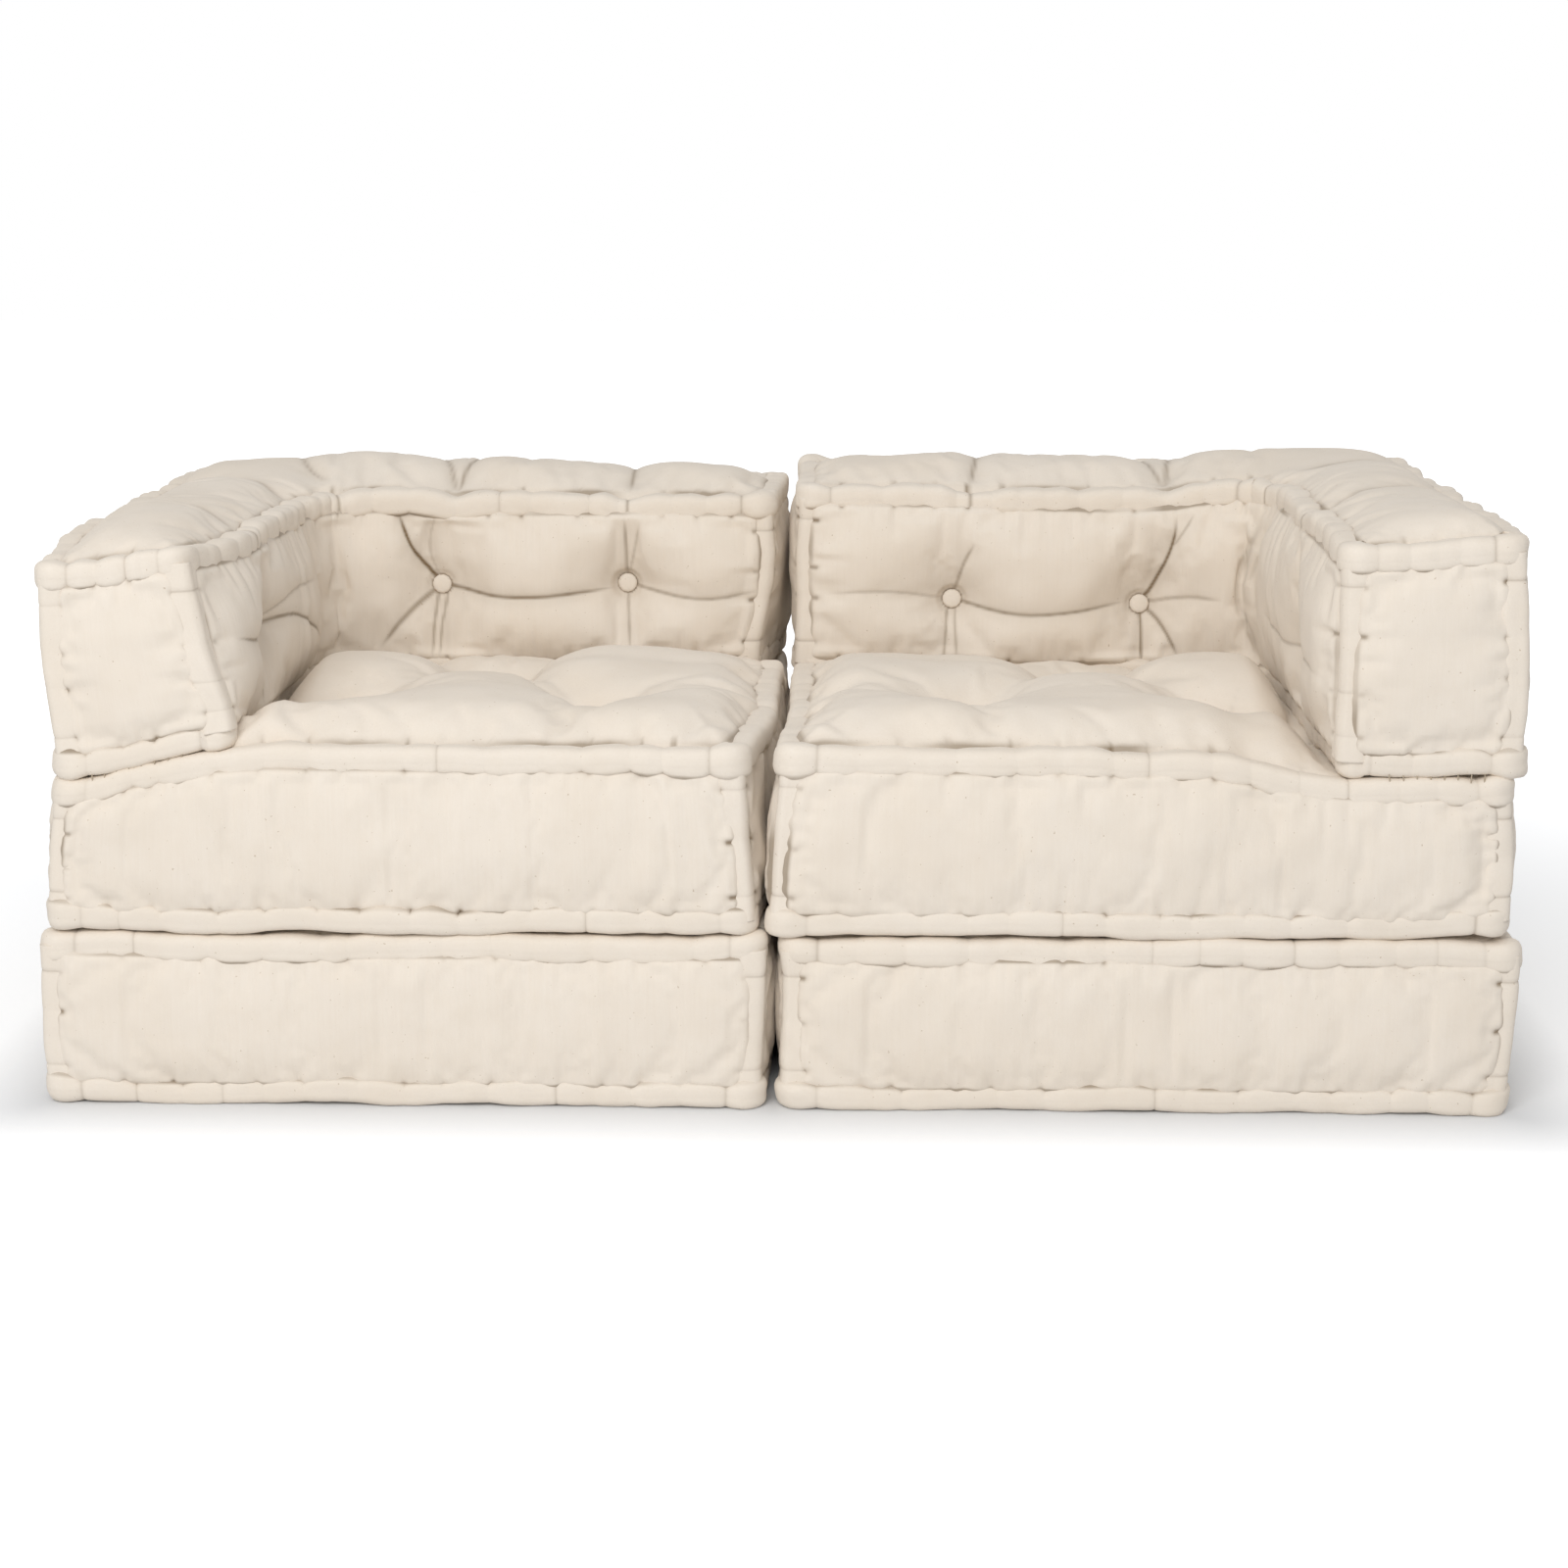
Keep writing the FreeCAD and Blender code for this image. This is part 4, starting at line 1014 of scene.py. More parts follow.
def tuft_valleys(cushion, cloth, co, tufts, dents):
    """Soft valleys between neighbouring tufts of the seat, and from them to the cushion's edges."""
    rng = np.random.default_rng(cushion.seed + 78)
    spots = [place[:2] for place, _ in tufts]
    pairs = [(a, b) for i, a in enumerate(spots) for b in spots[i + 1:]]
    nearest = min(np.linalg.norm(a - b) for a, b in pairs)
    for a, b in pairs:
        if np.linalg.norm(a - b) < NEIGHBOURS * nearest:
            bow = np.array((b[1] - a[1], a[0] - b[0])) * rng.uniform(-VALLEY_BOW, VALLEY_BOW)
            gap, _ = to_line(co[:, :2], rounded_line(np.array((a, (a + b) / 2 + bow, b))))
            depth = VALLEY_DEPTH * bell(gap, VALLEY_WIDTH) + FOLD_DEPTH * fade(gap, FOLD_WIDTH)
            dents.add(cloth.top * depth * -MM)
    inset = sizes().panel_inset
    for spot in spots:
        radial = np.linalg.norm(co[:, :2] - spot, axis=1)
        hollow = cloth.top * fade(radial, DIMPLE_WIDTH)
        # each dimple is dented in, with painted shade at its bottom
        dents.add(hollow * -DIMPLE_DEPTH * MM, cloth.top * bell(radial, 9 * MM) * 0.5)
        for axis, near, far in ((0, cushion.x0, cushion.x1), (1, cushion.y0, cushion.y1)):
            rim = near if abs(spot[axis] - near) < abs(spot[axis] - far) else far
            if abs(spot[axis] - rim) < OUTERMOST * (far - near):
                tip = spot.copy()
                tip[axis] = rim + (inset if rim == near else -inset)
                tip[1 - axis] += rng.uniform(-EDGE_STRAY, EDGE_STRAY) * MM
                gap, share = to_segment(co[:, :2], spot, tip)
                dents.add(cloth.top * (1 - 0.5 * share) * EDGE_DEPTH * bell(gap, EDGE_WIDTH) * -MM)


# How high the stuffing's slow lumps stand in each kind of cushion, and its quick ones in all, in millimetres
LUMPS, QUICK_LUMPS = {"base": 1.8, "seat": 2.6, "corner": 2.6}, 0.55
# How the side panels' wrinkles and folds are drawn out upwards, and how high they stand in millimetres
DRAPE_SQUEEZE, DRAPE_HEIGHT, FOLD_SQUEEZE, FOLD_HEIGHT = (1, 1, 0.14), 0.8, (1, 1, 0.10), 3.2


def stuffing_lumps(cushion, cloth, co, dents):
    """The slow unevenness of loose cotton, and faint wrinkles down the side panels."""
    inside = rise(np.maximum(cloth.edge, cloth.upright), 50 * MM)
    slow, quick = waves(co, 170 * MM, cushion.seed + 61), waves(co, 50 * MM, cushion.seed + 62)
    dents.add(inside * (LUMPS[cushion.kind] * slow + QUICK_LUMPS * quick) * MM)
    drape = waves(co * DRAPE_SQUEEZE, 45 * MM, cushion.seed + 63)
    fold = np.clip(waves(co * FOLD_SQUEEZE, 75 * MM, cushion.seed + 66) - 0.5, 0, 1) ** 2
    patch = np.clip(waves(co, 200 * MM, cushion.seed + 64), 0, 1)
    wrinkles = (0.2 + patch) * drape * DRAPE_HEIGHT + fold * FOLD_HEIGHT
    dents.add(~(cloth.top | cloth.bottom) * inside * wrinkles * MM)


def make_body(cushion, material):
    """A cushion's panels over its filling, as one stuffed, closed cloth."""
    obj = new_object(f"{cushion.name}_stuffed_cover", block(cushion), material)
    cloth = Cloth(cushion, read(obj.data))
    store(obj.data, "cloth", cloth.flat)
    tufts = tuft_places(cushion)
    co = pull_tufts(cushion, stuffed(cushion, cloth), tufts)
    write(obj.data, co)
    write(obj.data, inflate(obj, pinned(cushion, cloth, co, tufts)))
    refine(obj, cushion)
    cloth = Cloth(cushion, fetch(obj.data, "cloth"))
    write(obj.data, cushion.settle(rest_planes(cushion, cloth, read(obj.data))))
    co = read(obj.data)
    dents = Dents(len(co))
    seam_gathers(cushion, cloth, dents)
    stuffing_lumps(cushion, cloth, co, dents)
    tuft_rays(cushion, co, tufts, dents)
    if cushion.kind == "seat":
        tuft_valleys(cushion, cloth, co, tufts, dents)
    if cushion.kind == "corner":
        draw_creases(cushion, cloth, co, tufts, dents)
        calm_buttons(cushion, co, tufts, dents)
        dents.limit(DEEPEST)
    seam_shade(cloth, co, cushion.seed + 65, dents)
    co = co + dents.move[:, None] * calm_normals(obj.data)
    if cushion.kind == "corner":
        co = bed_buttons(cushion, co, tufts, dents)
    write(obj.data, off_floor(cushion, co))
    # the painted shade of seams, pits, creases and button hollows, which the canvas mixes into its colour
    store(obj.data, "seam_shade", dents.shade)
    place_piece(obj, cushion, "canvas_panels", "top_panel", "bottom_panel", "side_panels", "filling")


# Rolled edges

# How many cells go round a roll
AROUND = 32
# How square a roll's section is: 2 is round
FLATNESS = 3.3


def roll_tube(name, path, outward, upward, surface, run, closed, material):
    """A tube rolled from a flat sheet along a path, with its own radius for each place on it."""
    radius, shade = surface
    rings, around = radius.shape
    cells = rings if closed else rings - 1
    bm = bmesh.new()
    bmesh.ops.create_grid(bm, x_segments=cells, y_segments=around, size=0.5)
    places = np.array([vert.co for vert in bm.verts])
    i = np.rint((places[:, 0] + 0.5) * cells).astype(int)
    j = np.rint((places[:, 1] + 0.5) * around).astype(int)
    k, turn = i % rings, j % around
    theta = 2 * math.pi * turn / around
    r = radius[k, turn]
    co = path[k] + outward[k] * (r * np.cos(theta))[:, None] + upward[k] * (r * np.sin(theta))[:, None]
    for vert, place in zip(bm.verts, co):
        vert.co = place
    obj = new_object(name, bm, material)
    arc = theta * sizes().roll_radius
    store(obj.data, "cloth", np.column_stack((run[k], arc, np.zeros(len(k)))))
    # the painted shade of the roll's seams, grooves and creases
    store(obj.data, "seam_shade", shade[k, turn])
    bm = bmesh.new()
    bm.from_mesh(obj.data)
    bmesh.ops.remove_doubles(bm, verts=bm.verts[:], dist=SAME_PLACE)
    if not closed:
        bmesh.ops.holes_fill(bm, edges=[edge for edge in bm.edges if edge.is_boundary], sides=0)
    bm.to_mesh(obj.data)
    bm.free()
    return obj


# The waves in a roll's cloth, uneven, fine, lengthwise and gathered: how they are squeezed along and around
# it, and their spacing
ROLL_WAVES = (
    ((1, 1, 1), 100 * MM),
    ((1, 1.4, 1.4), 24 * MM),
    ((0.10, 1.5, 1.5), 16 * MM),
    ((0.5, 1, 1), 20 * MM),
)
# Both kinds of roll: how full the side with the seam is, how deep its scallops and its lengthwise wrinkles
# are, how far its flat sides are turned, and where towards the seam its painted shade starts and is whole
ROLL_FORMS = {
    "level": (0.12, 0.36, 0.010, 0, (0.58, 0.74)),
    "upright": (0.36, 0.22, 0.026, math.pi / 4, (0.86, 0.97)),
}
# How far a stitch draws a roll in beside it, and how wide its groove and a crease right across are
SCALLOP_REACH, GROOVE_WIDTH, KNIFE_WIDTH = 21 * MM, 2.6 * MM, 1.4 * MM
# Shares of a roll's radius: how far out its flat sides are, its uneven and fine waves, and the gathers at a
# corner, then its pinch all round at a stitch, the stitch's groove, and a crease right across
GIRTH, UNEVEN, FINE, CORNER_GATHERS = 0.98, 0.040, 0.014, 0.06
PINCH, GROOVE_DEPTH, KNIFE_DEPTH = 0.05, 0.16, 0.075


def roll_surface(run, stitch, seam_angles, kind, corner, seed):
    """A roll's radius and painted shade along and around it: a flattened band with lobes, pits and creases.
    """
    radius = sizes().roll_radius
    gap, pull, across = stitch
    theta = 2 * math.pi * np.arange(AROUND) / AROUND
    grid = (len(run), AROUND)
    around = np.stack((np.cos(theta), np.sin(theta)), axis=1) * radius
    places = np.column_stack((np.repeat(run, AROUND), np.tile(around, (len(run), 1))))
    uneven, fine, lengthwise, gathers = (waves(places * squeeze, spacing, seed + k).reshape(grid)
                                         for k, (squeeze, spacing) in enumerate(ROLL_WAVES))
    full, scallop, wrinkle, turned, shaded = ROLL_FORMS[kind]
    flat = theta - turned
    squarish = (np.abs(np.cos(flat)) ** FLATNESS + np.abs(np.sin(flat)) ** FLATNESS) ** (-1 / FLATNESS)
    facing = np.zeros(AROUND)
    for angle in seam_angles:
        facing = np.maximum(facing, np.clip(np.cos(theta - angle), 0, 1))
    dip = pull * (1 - rise(gap, SCALLOP_REACH))
    groove, knife = fade(gap, GROOVE_WIDTH) * pull, fade(gap, KNIFE_WIDTH) * across
    r = radius * GIRTH * squarish[None, :] * (1 + UNEVEN * uneven + FINE * fine + wrinkle * lengthwise)
    r *= 1 + (full - scallop * dip[:, None]) * facing[None, :] ** 2 - PINCH * dip[:, None]
    r *= 1 - groove[:, None] * GROOVE_DEPTH * facing[None, :] ** 2 - KNIFE_DEPTH * knife[:, None]
    knob, near_corner = corner
    r *= 1 + near_corner[:, None] * (knob[:, None] + CORNER_GATHERS * gathers)
    # painted shade on the side that turns to each seam, patchy along the roll, in the stitches' grooves and
    # along the creases right across
    shade_patches = 0.6 + 0.5 * np.clip(waves(run[:, None], 70 * MM, seed + 8), -0.6, 0.8)
    seam = climb(facing, *shaded)[None, :] * shade_patches[:, None] * 0.85
    shade = np.maximum(seam, groove[:, None] * climb(facing, 0.45, 0.65)[None, :])
    return r, np.clip(np.maximum(shade, knife[:, None] * 0.5), 0, 1)


# How much a roll's rings crowd towards its stitches: 1 is not at all
CROWDING = 1.4


def eased(count):
    """Shares from 0 to 1 that crowd towards both ends."""
    u = np.arange(count) / count
    return np.where(u < 0.5, 0.5 * (2 * u) ** CROWDING, 1 - 0.5 * (2 - 2 * u) ** CROWDING)


def ring_places(run, stitches):
    """Places of a roll's rings along a run, crowded at its stitches."""
    knots = np.concatenate(([0.0], stitches, [run]))
    parts = []
    for start, end in zip(knots, knots[1:]):
        parts.append(start + (end - start) * eased(max(2, 2 * round((end - start) / sizes().ring_pitch / 2))))
    return np.concatenate(parts)


def running_mean(points, width):
    """A closed path smoothed by a running mean."""
    kernel = np.hanning(width + 2)[1:-1]
    kernel /= kernel.sum()
    half = width // 2
    path = np.concatenate((points[-half:], points, points[:half]))
    return np.stack([np.convolve(path[:, axis], kernel, "valid") for axis in range(points.shape[1])], axis=1)


def finish_roll(obj, cushion):
    """Slumps a roll with its cushion, and keeps it off the floor."""
    write(obj.data, off_floor(cushion, cushion.settle(read(obj.data))))
    return obj


# How much thicker a level roll is at a corner, at least and at most, and over what width
KNOBS, KNOB_WIDTH = (0.02, 0.17), 20 * MM
# How many rings round a level roll's corner are averaged, and how far from it that reaches
CORNER_RINGS, CORNER_ROUND = 13, 35 * MM
# The notch where a crease of the top reaches its roll: its width, how far it keeps other creases away, how
# hard it pulls, how far it creases the roll right across, and its depth inwards and downwards in millimetres
NOTCH_WIDTH, NOTCH_ALONE = 20 * MM, 30 * MM
NOTCH_PULL, NOTCH_ACROSS, NOTCH_IN, NOTCH_DOWN = 0.9, 1.3, 2.0, 6.0
# How far the corner cushion's bottom roll is tucked in and down on the seat, in millimetres
TUCK_IN, TUCK_DOWN = 4.0, 3.0
# How far an upright roll leans in or out and how far it wanders, in millimetres
UPRIGHT_LEAN, UPRIGHT_WANDER = (-1.8, 0.6), 1.2


def level_roll(cushion, level, material):
    """A rolled edge all round a cushion's top (1) or bottom (0)."""
    size = sizes()
    seed = cushion.seed * 31 + level * 17
    count = len(cushion.plan)
    knobs = np.random.default_rng(seed + 6).uniform(*KNOBS, count)
    if cushion.bend_at is not None:
        knobs[2] = 0
    rows = []
    for k, (start, end, _) in enumerate(cushion.sides(size.roll_radius)):
        outer_start, outer_end, _ = cushion.sides()[k]
        run = np.linalg.norm(outer_end - outer_start)
        stitches = cushion.level_stitches(level, k)
        along = ring_places(run, stitches[0])
        xy = start + (end - start) * (along / run)[:, None]
        corner_gap = np.minimum(along, run - along)
        knob = np.where(along < run / 2, knobs[k], knobs[(k + 1) % count])
        rows.append(np.column_stack((xy, *nearest_stitch(along, *stitches), corner_gap, knob)))
    table = np.concatenate(rows)
    gap, pull, across, corner_gap, knob = table[:, 2:].T
    xy = cushion.bent(table[:, :2])
    xy = xy + (running_mean(xy, CORNER_RINGS) - xy) * np.exp(-(corner_gap / CORNER_ROUND) ** 4)[:, None]
    ahead = np.roll(xy, -1, axis=0) - np.roll(xy, 1, axis=0)
    ahead /= np.linalg.norm(ahead, axis=1)[:, None]
    out = np.stack((ahead[:, 1], -ahead[:, 0], np.zeros(len(xy))), axis=1)
    z = cushion.level(xy) - size.roll_radius if level else np.full(len(xy), cushion.low + size.roll_radius)
    path = np.column_stack((xy, z))
    run = np.concatenate(([0], np.cumsum(np.linalg.norm(np.diff(path, axis=0), axis=1))))
    lobe = rise(gap, SCALLOP_REACH) * pull - 0.5
    amount = 2.6 if cushion.kind == "corner" and level else 1.2
    path = path + out * (waves(path, 200 * MM, seed + 4) * 1.8 * MM + lobe * MM * amount)[:, None]
    lift = waves(path, 150 * MM, seed + 5) * 1.3 + waves(path, 70 * MM, seed + 9) * 1.1
    path[:, 2] += lift * MM + lobe * 0.8 * MM * amount * level
    if level:
        notch = np.zeros(len(xy))
        for end in crease_ends(cushion):
            gap_to_end = np.linalg.norm(xy - end, axis=1)
            notch = np.maximum(notch, bell(gap_to_end, NOTCH_WIDTH))
            along_run = np.abs(run - run[gap_to_end.argmin()])
            nearer = along_run < gap
            gap, pull = np.where(nearer, along_run, gap), np.where(nearer, NOTCH_PULL, pull)
            across = np.where(nearer, NOTCH_ACROSS, np.where(along_run < NOTCH_ALONE, 0, across))
        path -= (out * NOTCH_IN + (0, 0, NOTCH_DOWN)) * MM * notch[:, None]
    elif cushion.kind == "corner":
        inner = (xy[:, 0] > cushion.face_x - 30 * MM) & (xy[:, 1] < cushion.face_y + 30 * MM)
        tucked = inner * climb(np.linalg.norm(xy - cushion.bend_at, axis=1), 70 * MM, 150 * MM)
        path -= (out * TUCK_IN + (0, 0, TUCK_DOWN)) * MM * tucked[:, None]
    up = np.tile((0.0, 0.0, 1.0), (len(xy), 1))
    corner = knob, bell(corner_gap, KNOB_WIDTH)
    seam_angles = (math.pi, -math.pi / 2) if level else (math.pi, math.pi / 2)
    surface = roll_surface(run, (gap, pull, across), seam_angles, "level", corner, seed)
    name = f"{cushion.name}_{'top' if level else 'bottom'}_rolled_edge"
    return finish_roll(roll_tube(name, path, out, up, surface, run, True, material), cushion)


def upright_roll(cushion, corner, material):
    """The rolled edge that stands at an outward corner of the plan."""
    size = sizes()
    sides = cushion.sides(size.roll_radius + size.upright_inset)
    place, _, out = sides[corner]
    way = sides[corner - 1][2] + out
    way = way / np.linalg.norm(way)
    low, high = cushion.upright_span(corner)
    stitches = cushion.upright_stitches(corner)
    run = np.append(ring_places(high - low, stitches[0]), high - low)
    seed = cushion.seed * 41 + corner * 7
    rng = np.random.default_rng(seed)
    path = np.column_stack((np.tile(place, (len(run), 1)), low + run))
    wander = np.stack((waves(path, 130 * MM, seed + 1), waves(path, 130 * MM, seed + 2)), axis=1)
    inside = rise(np.minimum(run, run[-1] - run), 70 * MM)[:, None]
    path[:, :2] += inside * (way * rng.uniform(*UPRIGHT_LEAN) + wander * UPRIGHT_WANDER) * MM
    outward = np.tile((way[0], way[1], 0.0), (len(run), 1))
    sideways = np.tile((-way[1], way[0], 0.0), (len(run), 1))
    seam_angles = (math.pi * 0.75, -math.pi * 0.75)
    corner = np.zeros(len(run)), np.zeros(len(run))
    surface = roll_surface(run, nearest_stitch(run, *stitches), seam_angles, "upright", corner, seed + 3)
    name = f"{cushion.name}_upright_{corner}"
    return finish_roll(roll_tube(name, path, outward, sideways, surface, run, False, material), cushion)


# Buttons and stitches

# How far the cloth lies behind a button's middle
BUTTON_SINK = 3.0 * MM
# How far a button's back lies behind its middle, in millimetres
BUTTON_BACK = 4.5
# The radius of a sewing thread
THREAD_RADIUS = 0.7 * MM
# A button's half section in millimetres: distance from the middle, and height
BUTTON_PROFILE = ((0, 0), (8.6, 0), (10.0, 1.4), (10.3, 2.9), (9.6, 4.2), (7.4, 5.0), (4.0, 5.5), (0, 5.6))


def turn_to(way, place):
    """The matrix that turns +Z to a way and moves the origin to a place."""
    turn = Vector((0, 0, 1)).rotation_difference(Vector(way)).to_matrix().to_4x4()
    return Matrix.Translation(Vector(place)) @ turn


def make_button(place, outward, seed, material):
    """A cloth-covered button: a puckered rim and a domed face."""
    bm = bmesh.new()
    verts = [bm.verts.new((r * MM, 0, z * MM)) for r, z in BUTTON_PROFILE]
    edges = [bm.edges.new(pair) for pair in zip(verts, verts[1:])]
    bmesh.ops.spin(bm, geom=verts + edges, cent=(0, 0, 0), axis=(0, 0, 1), angle=2 * math.pi,
                   steps=40, use_merge=True)
    bmesh.ops.remove_doubles(bm, verts=bm.verts[:], dist=SAME_PLACE)
    bmesh.ops.recalc_face_normals(bm, faces=bm.faces[:])
    for vert in bm.verts:
        turn = math.atan2(vert.co.y, vert.co.x)
        far = math.hypot(vert.co.x, vert.co.y) / (11 * MM)
        pucker = 1 - 0.018 * far ** 3 * (math.sin(11 * turn + seed) + math.sin(17 * turn + 2 * seed))
        dome = 1 - 0.06 * far ** 3 * math.sin(13 * turn)
        vert.co = (vert.co.x * pucker, vert.co.y * pucker, vert.co.z * dome)
    back = place - np.array(outward) * BUTTON_BACK * MM
    bmesh.ops.transform(bm, matrix=turn_to(outward, back), verts=bm.verts)
    obj = new_object(f"button_{seed}", bm, material)
    co = read(obj.data)
    store(obj.data, "cloth", co)
    store(obj.data, "seam_shade", np.zeros(len(co)))
    return obj


def make_stitch(points, seed, material):
    """One short thread across the groove between two rolls."""
    middle = points.mean(axis=0)
    way = np.linalg.svd(points - middle, full_matrices=False)[2][0]
    reach = np.abs((points - middle) @ way).max()
    bm = bmesh.new()
    bmesh.ops.create_uvsphere(bm, u_segments=8, v_segments=8, radius=1)
    bmesh.ops.scale(bm, vec=(THREAD_RADIUS, THREAD_RADIUS, reach), verts=bm.verts)
    bmesh.ops.transform(bm, matrix=turn_to(way, middle), verts=bm.verts)
    return new_object(f"stitch_{seed}", bm, material)


# Materials

class Shading:
    """A material's nodes, added and linked in short calls."""

    def __init__(self, name):
        self.material = bpy.data.materials.new(name)
        self.material.use_nodes = True
        self.tree = self.material.node_tree
        self.shader = self.tree.nodes["Principled BSDF"]

    def put(self, socket, value):
        if isinstance(value, bpy.types.NodeSocket):
            self.tree.links.new(value, socket)
        else:
            socket.default_value = value

    def add(self, kind, inputs, **settings):
        """A node with its settings, and its inputs linked or set."""
        node = self.tree.nodes.new(kind)
        for name, value in settings.items():
            setattr(node, name, value)
        for name, value in inputs.items():
            self.put(node.inputs[name], value)
        return node

    def noise(self, vector, stretch, scale, detail):
        """Noise between 0 and 1, stretched along the axes."""
        mapping = self.add("ShaderNodeMapping", {"Vector": vector, "Scale": stretch})
        inputs = {"Vector": mapping.outputs[0], "Scale": scale, "Detail": detail, "Roughness": 0.6}
        return self.add("ShaderNodeTexNoise", inputs).outputs["Fac"]

    def remap(self, value, low, high, to_high):
        inputs = {"Value": value, "From Min": low, "From Max": high, "To Min": 0.0, "To Max": to_high}
        return self.add("ShaderNodeMapRange", inputs).outputs[0]

    def math(self, operation, first, second):
        return self.add("ShaderNodeMath", {0: first, 1: second}, operation=operation).outputs[0]

    def mix(self, factor, first, second):
        """A colour between two colours."""
        ends = [end if isinstance(end, bpy.types.NodeSocket) else (*end, 1) for end in (first, second)]
        return self.add("ShaderNodeMix", {0: factor, 6: ends[0], 7: ends[1]}, data_type="RGBA").outputs[2]


def canvas(name, weave=0.75 * MM):
    """Unbleached cotton canvas: a plain weave with slubs, slow colour changes, flecks, and painted shade in
    its seams, creases and hollows.
    """
    colours = bpy.context.scene.sofa_finish
    shading = Shading(name)
    shader = shading.shader
    shader.inputs["Roughness"].default_value = 0.88
    shader.inputs["Sheen Weight"].default_value = 0.12
    shader.inputs["Sheen Roughness"].default_value = 0.5
    shader.inputs["Specular IOR Level"].default_value = 0.15
    place = shading.add("ShaderNodeTexCoord", {}).outputs["Object"]
    cloth = shading.add("ShaderNodeAttribute", {}, attribute_name="cloth").outputs["Vector"]
    # the painted shade of seams, pits, creases and hollows, stored on the vertices
    seam = shading.add("ShaderNodeAttribute", {}, attribute_name="seam_shade").outputs["Fac"]
    blotch = shading.remap(shading.noise(place, (1, 1, 1), 7.0, 3.0), 0.40, 0.72, 0.42)
    colour = shading.mix(blotch, colours.cloth, colours.blotch)
    yarn = shading.noise(cloth, (1, 1, 0.05), 420.0, 2.0)
    colour = shading.mix(shading.remap(yarn, 0.35, 0.75, 0.22), colour, colours.blotch)
    mottle = shading.noise(place, (1, 1, 1), 60.0, 4.0)
    colour = shading.mix(shading.remap(mottle, 0.45, 0.75, 0.22), colour, colours.blotch)
    fleck = shading.noise(place, (1, 1, 1), 330.0, 1.0)
    colour = shading.mix(shading.remap(fleck, 0.755, 0.80, 0.55), colour, colours.fleck)
    # painted shade: the canvas darkens towards the shade colour wherever the vertices' painted shade is
    # strong
    colour = shading.mix(shading.math("POWER", seam, 1.4), colour, colours.shade)
    shading.put(shader.inputs["Base Color"], colour)
    turns = (2 * math.pi / weave,) * 3
    thread = shading.add("ShaderNodeVectorMath", {0: cloth, 1: turns}, operation="MULTIPLY").outputs[0]
    wave = shading.add("ShaderNodeVectorMath", {0: thread}, operation="SINE").outputs[0]
    crossing = shading.add("ShaderNodeVectorMath", {0: wave, 1: (0.18, 0.18, 0.18)}, operation="DOT_PRODUCT")
    fuzz = shading.math("MULTIPLY", shading.noise(place, (1, 1, 1), 700.0, 3.0), 0.9)
    height = shading.math("ADD", crossing.outputs["Value"], shading.math("MULTIPLY", yarn, 1.4))
    height = shading.math("ADD", height, fuzz)
    bump = shading.add("ShaderNodeBump", {"Height": height, "Strength": 0.35, "Distance": 0.35 * MM})
    shading.put(shader.inputs["Normal"], bump.outputs[0])
    return shading.material


def waxed_thread(name):
    """Twisted, waxed cotton thread."""
    colours = bpy.context.scene.sofa_finish
    shading = Shading(name)
    shading.shader.inputs["Roughness"].default_value = 0.55
    place = shading.add("ShaderNodeTexCoord", {}).outputs["Object"]
    twist = shading.noise(place, (1, 1, 1), 900.0, 2.0)
    dark = [0.55 * c for c in colours.thread]
    shading.put(shading.shader.inputs["Base Color"], shading.mix(twist, colours.thread, dark))
    bump = shading.add("ShaderNodeBump", {"Height": twist, "Strength": 0.5, "Distance": 0.3 * MM})
    shading.put(shading.shader.inputs["Normal"], bump.outputs[0])
    return shading.material


def white_floor():
    """A white floor that keeps the sofa's soft shadow, and whose glow for the camera fades towards the sofa's
    footprint as a painted contact shadow over the real one.
    """
    shading = Shading("white_floor")
    shader = shading.shader
    shader.inputs["Base Color"].default_value = (0.77, 0.78, 0.795, 1)
    shader.inputs["Roughness"].default_value = 0.9
    shader.inputs["Specular IOR Level"].default_value = 0.0
    shader.inputs["Emission Color"].default_value = (1, 1, 1, 1)
    place = shading.add("ShaderNodeTexCoord", {}).outputs["Object"]
    half_plan = (0.70, 0.35, 0)
    for step, inputs in (("ABSOLUTE", {}), ("SUBTRACT", {1: half_plan}), ("MAXIMUM", {1: (0, 0, 0)})):
        place = shading.add("ShaderNodeVectorMath", {0: place, **inputs}, operation=step).outputs[0]
    away = shading.add("ShaderNodeVectorMath", {0: place}, operation="LENGTH").outputs["Value"]
    # for the camera the floor glows white away from the sofa; the glow fades to nothing at the sofa's
    # footprint, a painted contact shadow over the real one
    lift = shading.math("ADD", shading.remap(away, 0.0, 0.10, 0.34), shading.remap(away, 0.1, 1.6, 0.5))
    ray = shading.add("ShaderNodeLightPath", {}).outputs["Is Camera Ray"]
    shading.put(shader.inputs["Emission Strength"], shading.math("MULTIPLY", ray, lift))
    return shading.material


# Operators

class SOFA_OT_covers(bpy.types.Operator):
    """Make the six stuffed cushion covers"""

    bl_idname = "sofa.covers"
    bl_label = "Cushion covers"

    def execute(self, context):
        material = canvas("canvas_panels")
        for side in SIDES:
            for kind in KINDS:
                make_body(Cushion(side, kind), material)
        return {"FINISHED"}


class SOFA_OT_rolls(bpy.types.Operator):
    """Make the rolled edges of every cushion"""

    bl_idname = "sofa.rolls"
    bl_label = "Rolled edges"

    def execute(self, context):
        material = canvas("canvas_rolls")
        for side in SIDES:
            for kind in KINDS:
                cushion = Cushion(side, kind)
                for level, node in ((1, "top_roll"), (0, "bottom_roll")):
                    place_piece(level_roll(cushion, level, material), cushion, "canvas_rolls", node)
                corners = [k for k in range(len(cushion.plan)) if cushion.bend_at is None or k != 2]
                uprights = [upright_roll(cushion, k, material) for k in corners]
                obj = joined(f"{cushion.name}_upright_rolled_edges", uprights)
                place_piece(obj, cushion, "canvas_rolls", "corner_rolls")
        return {"FINISHED"}


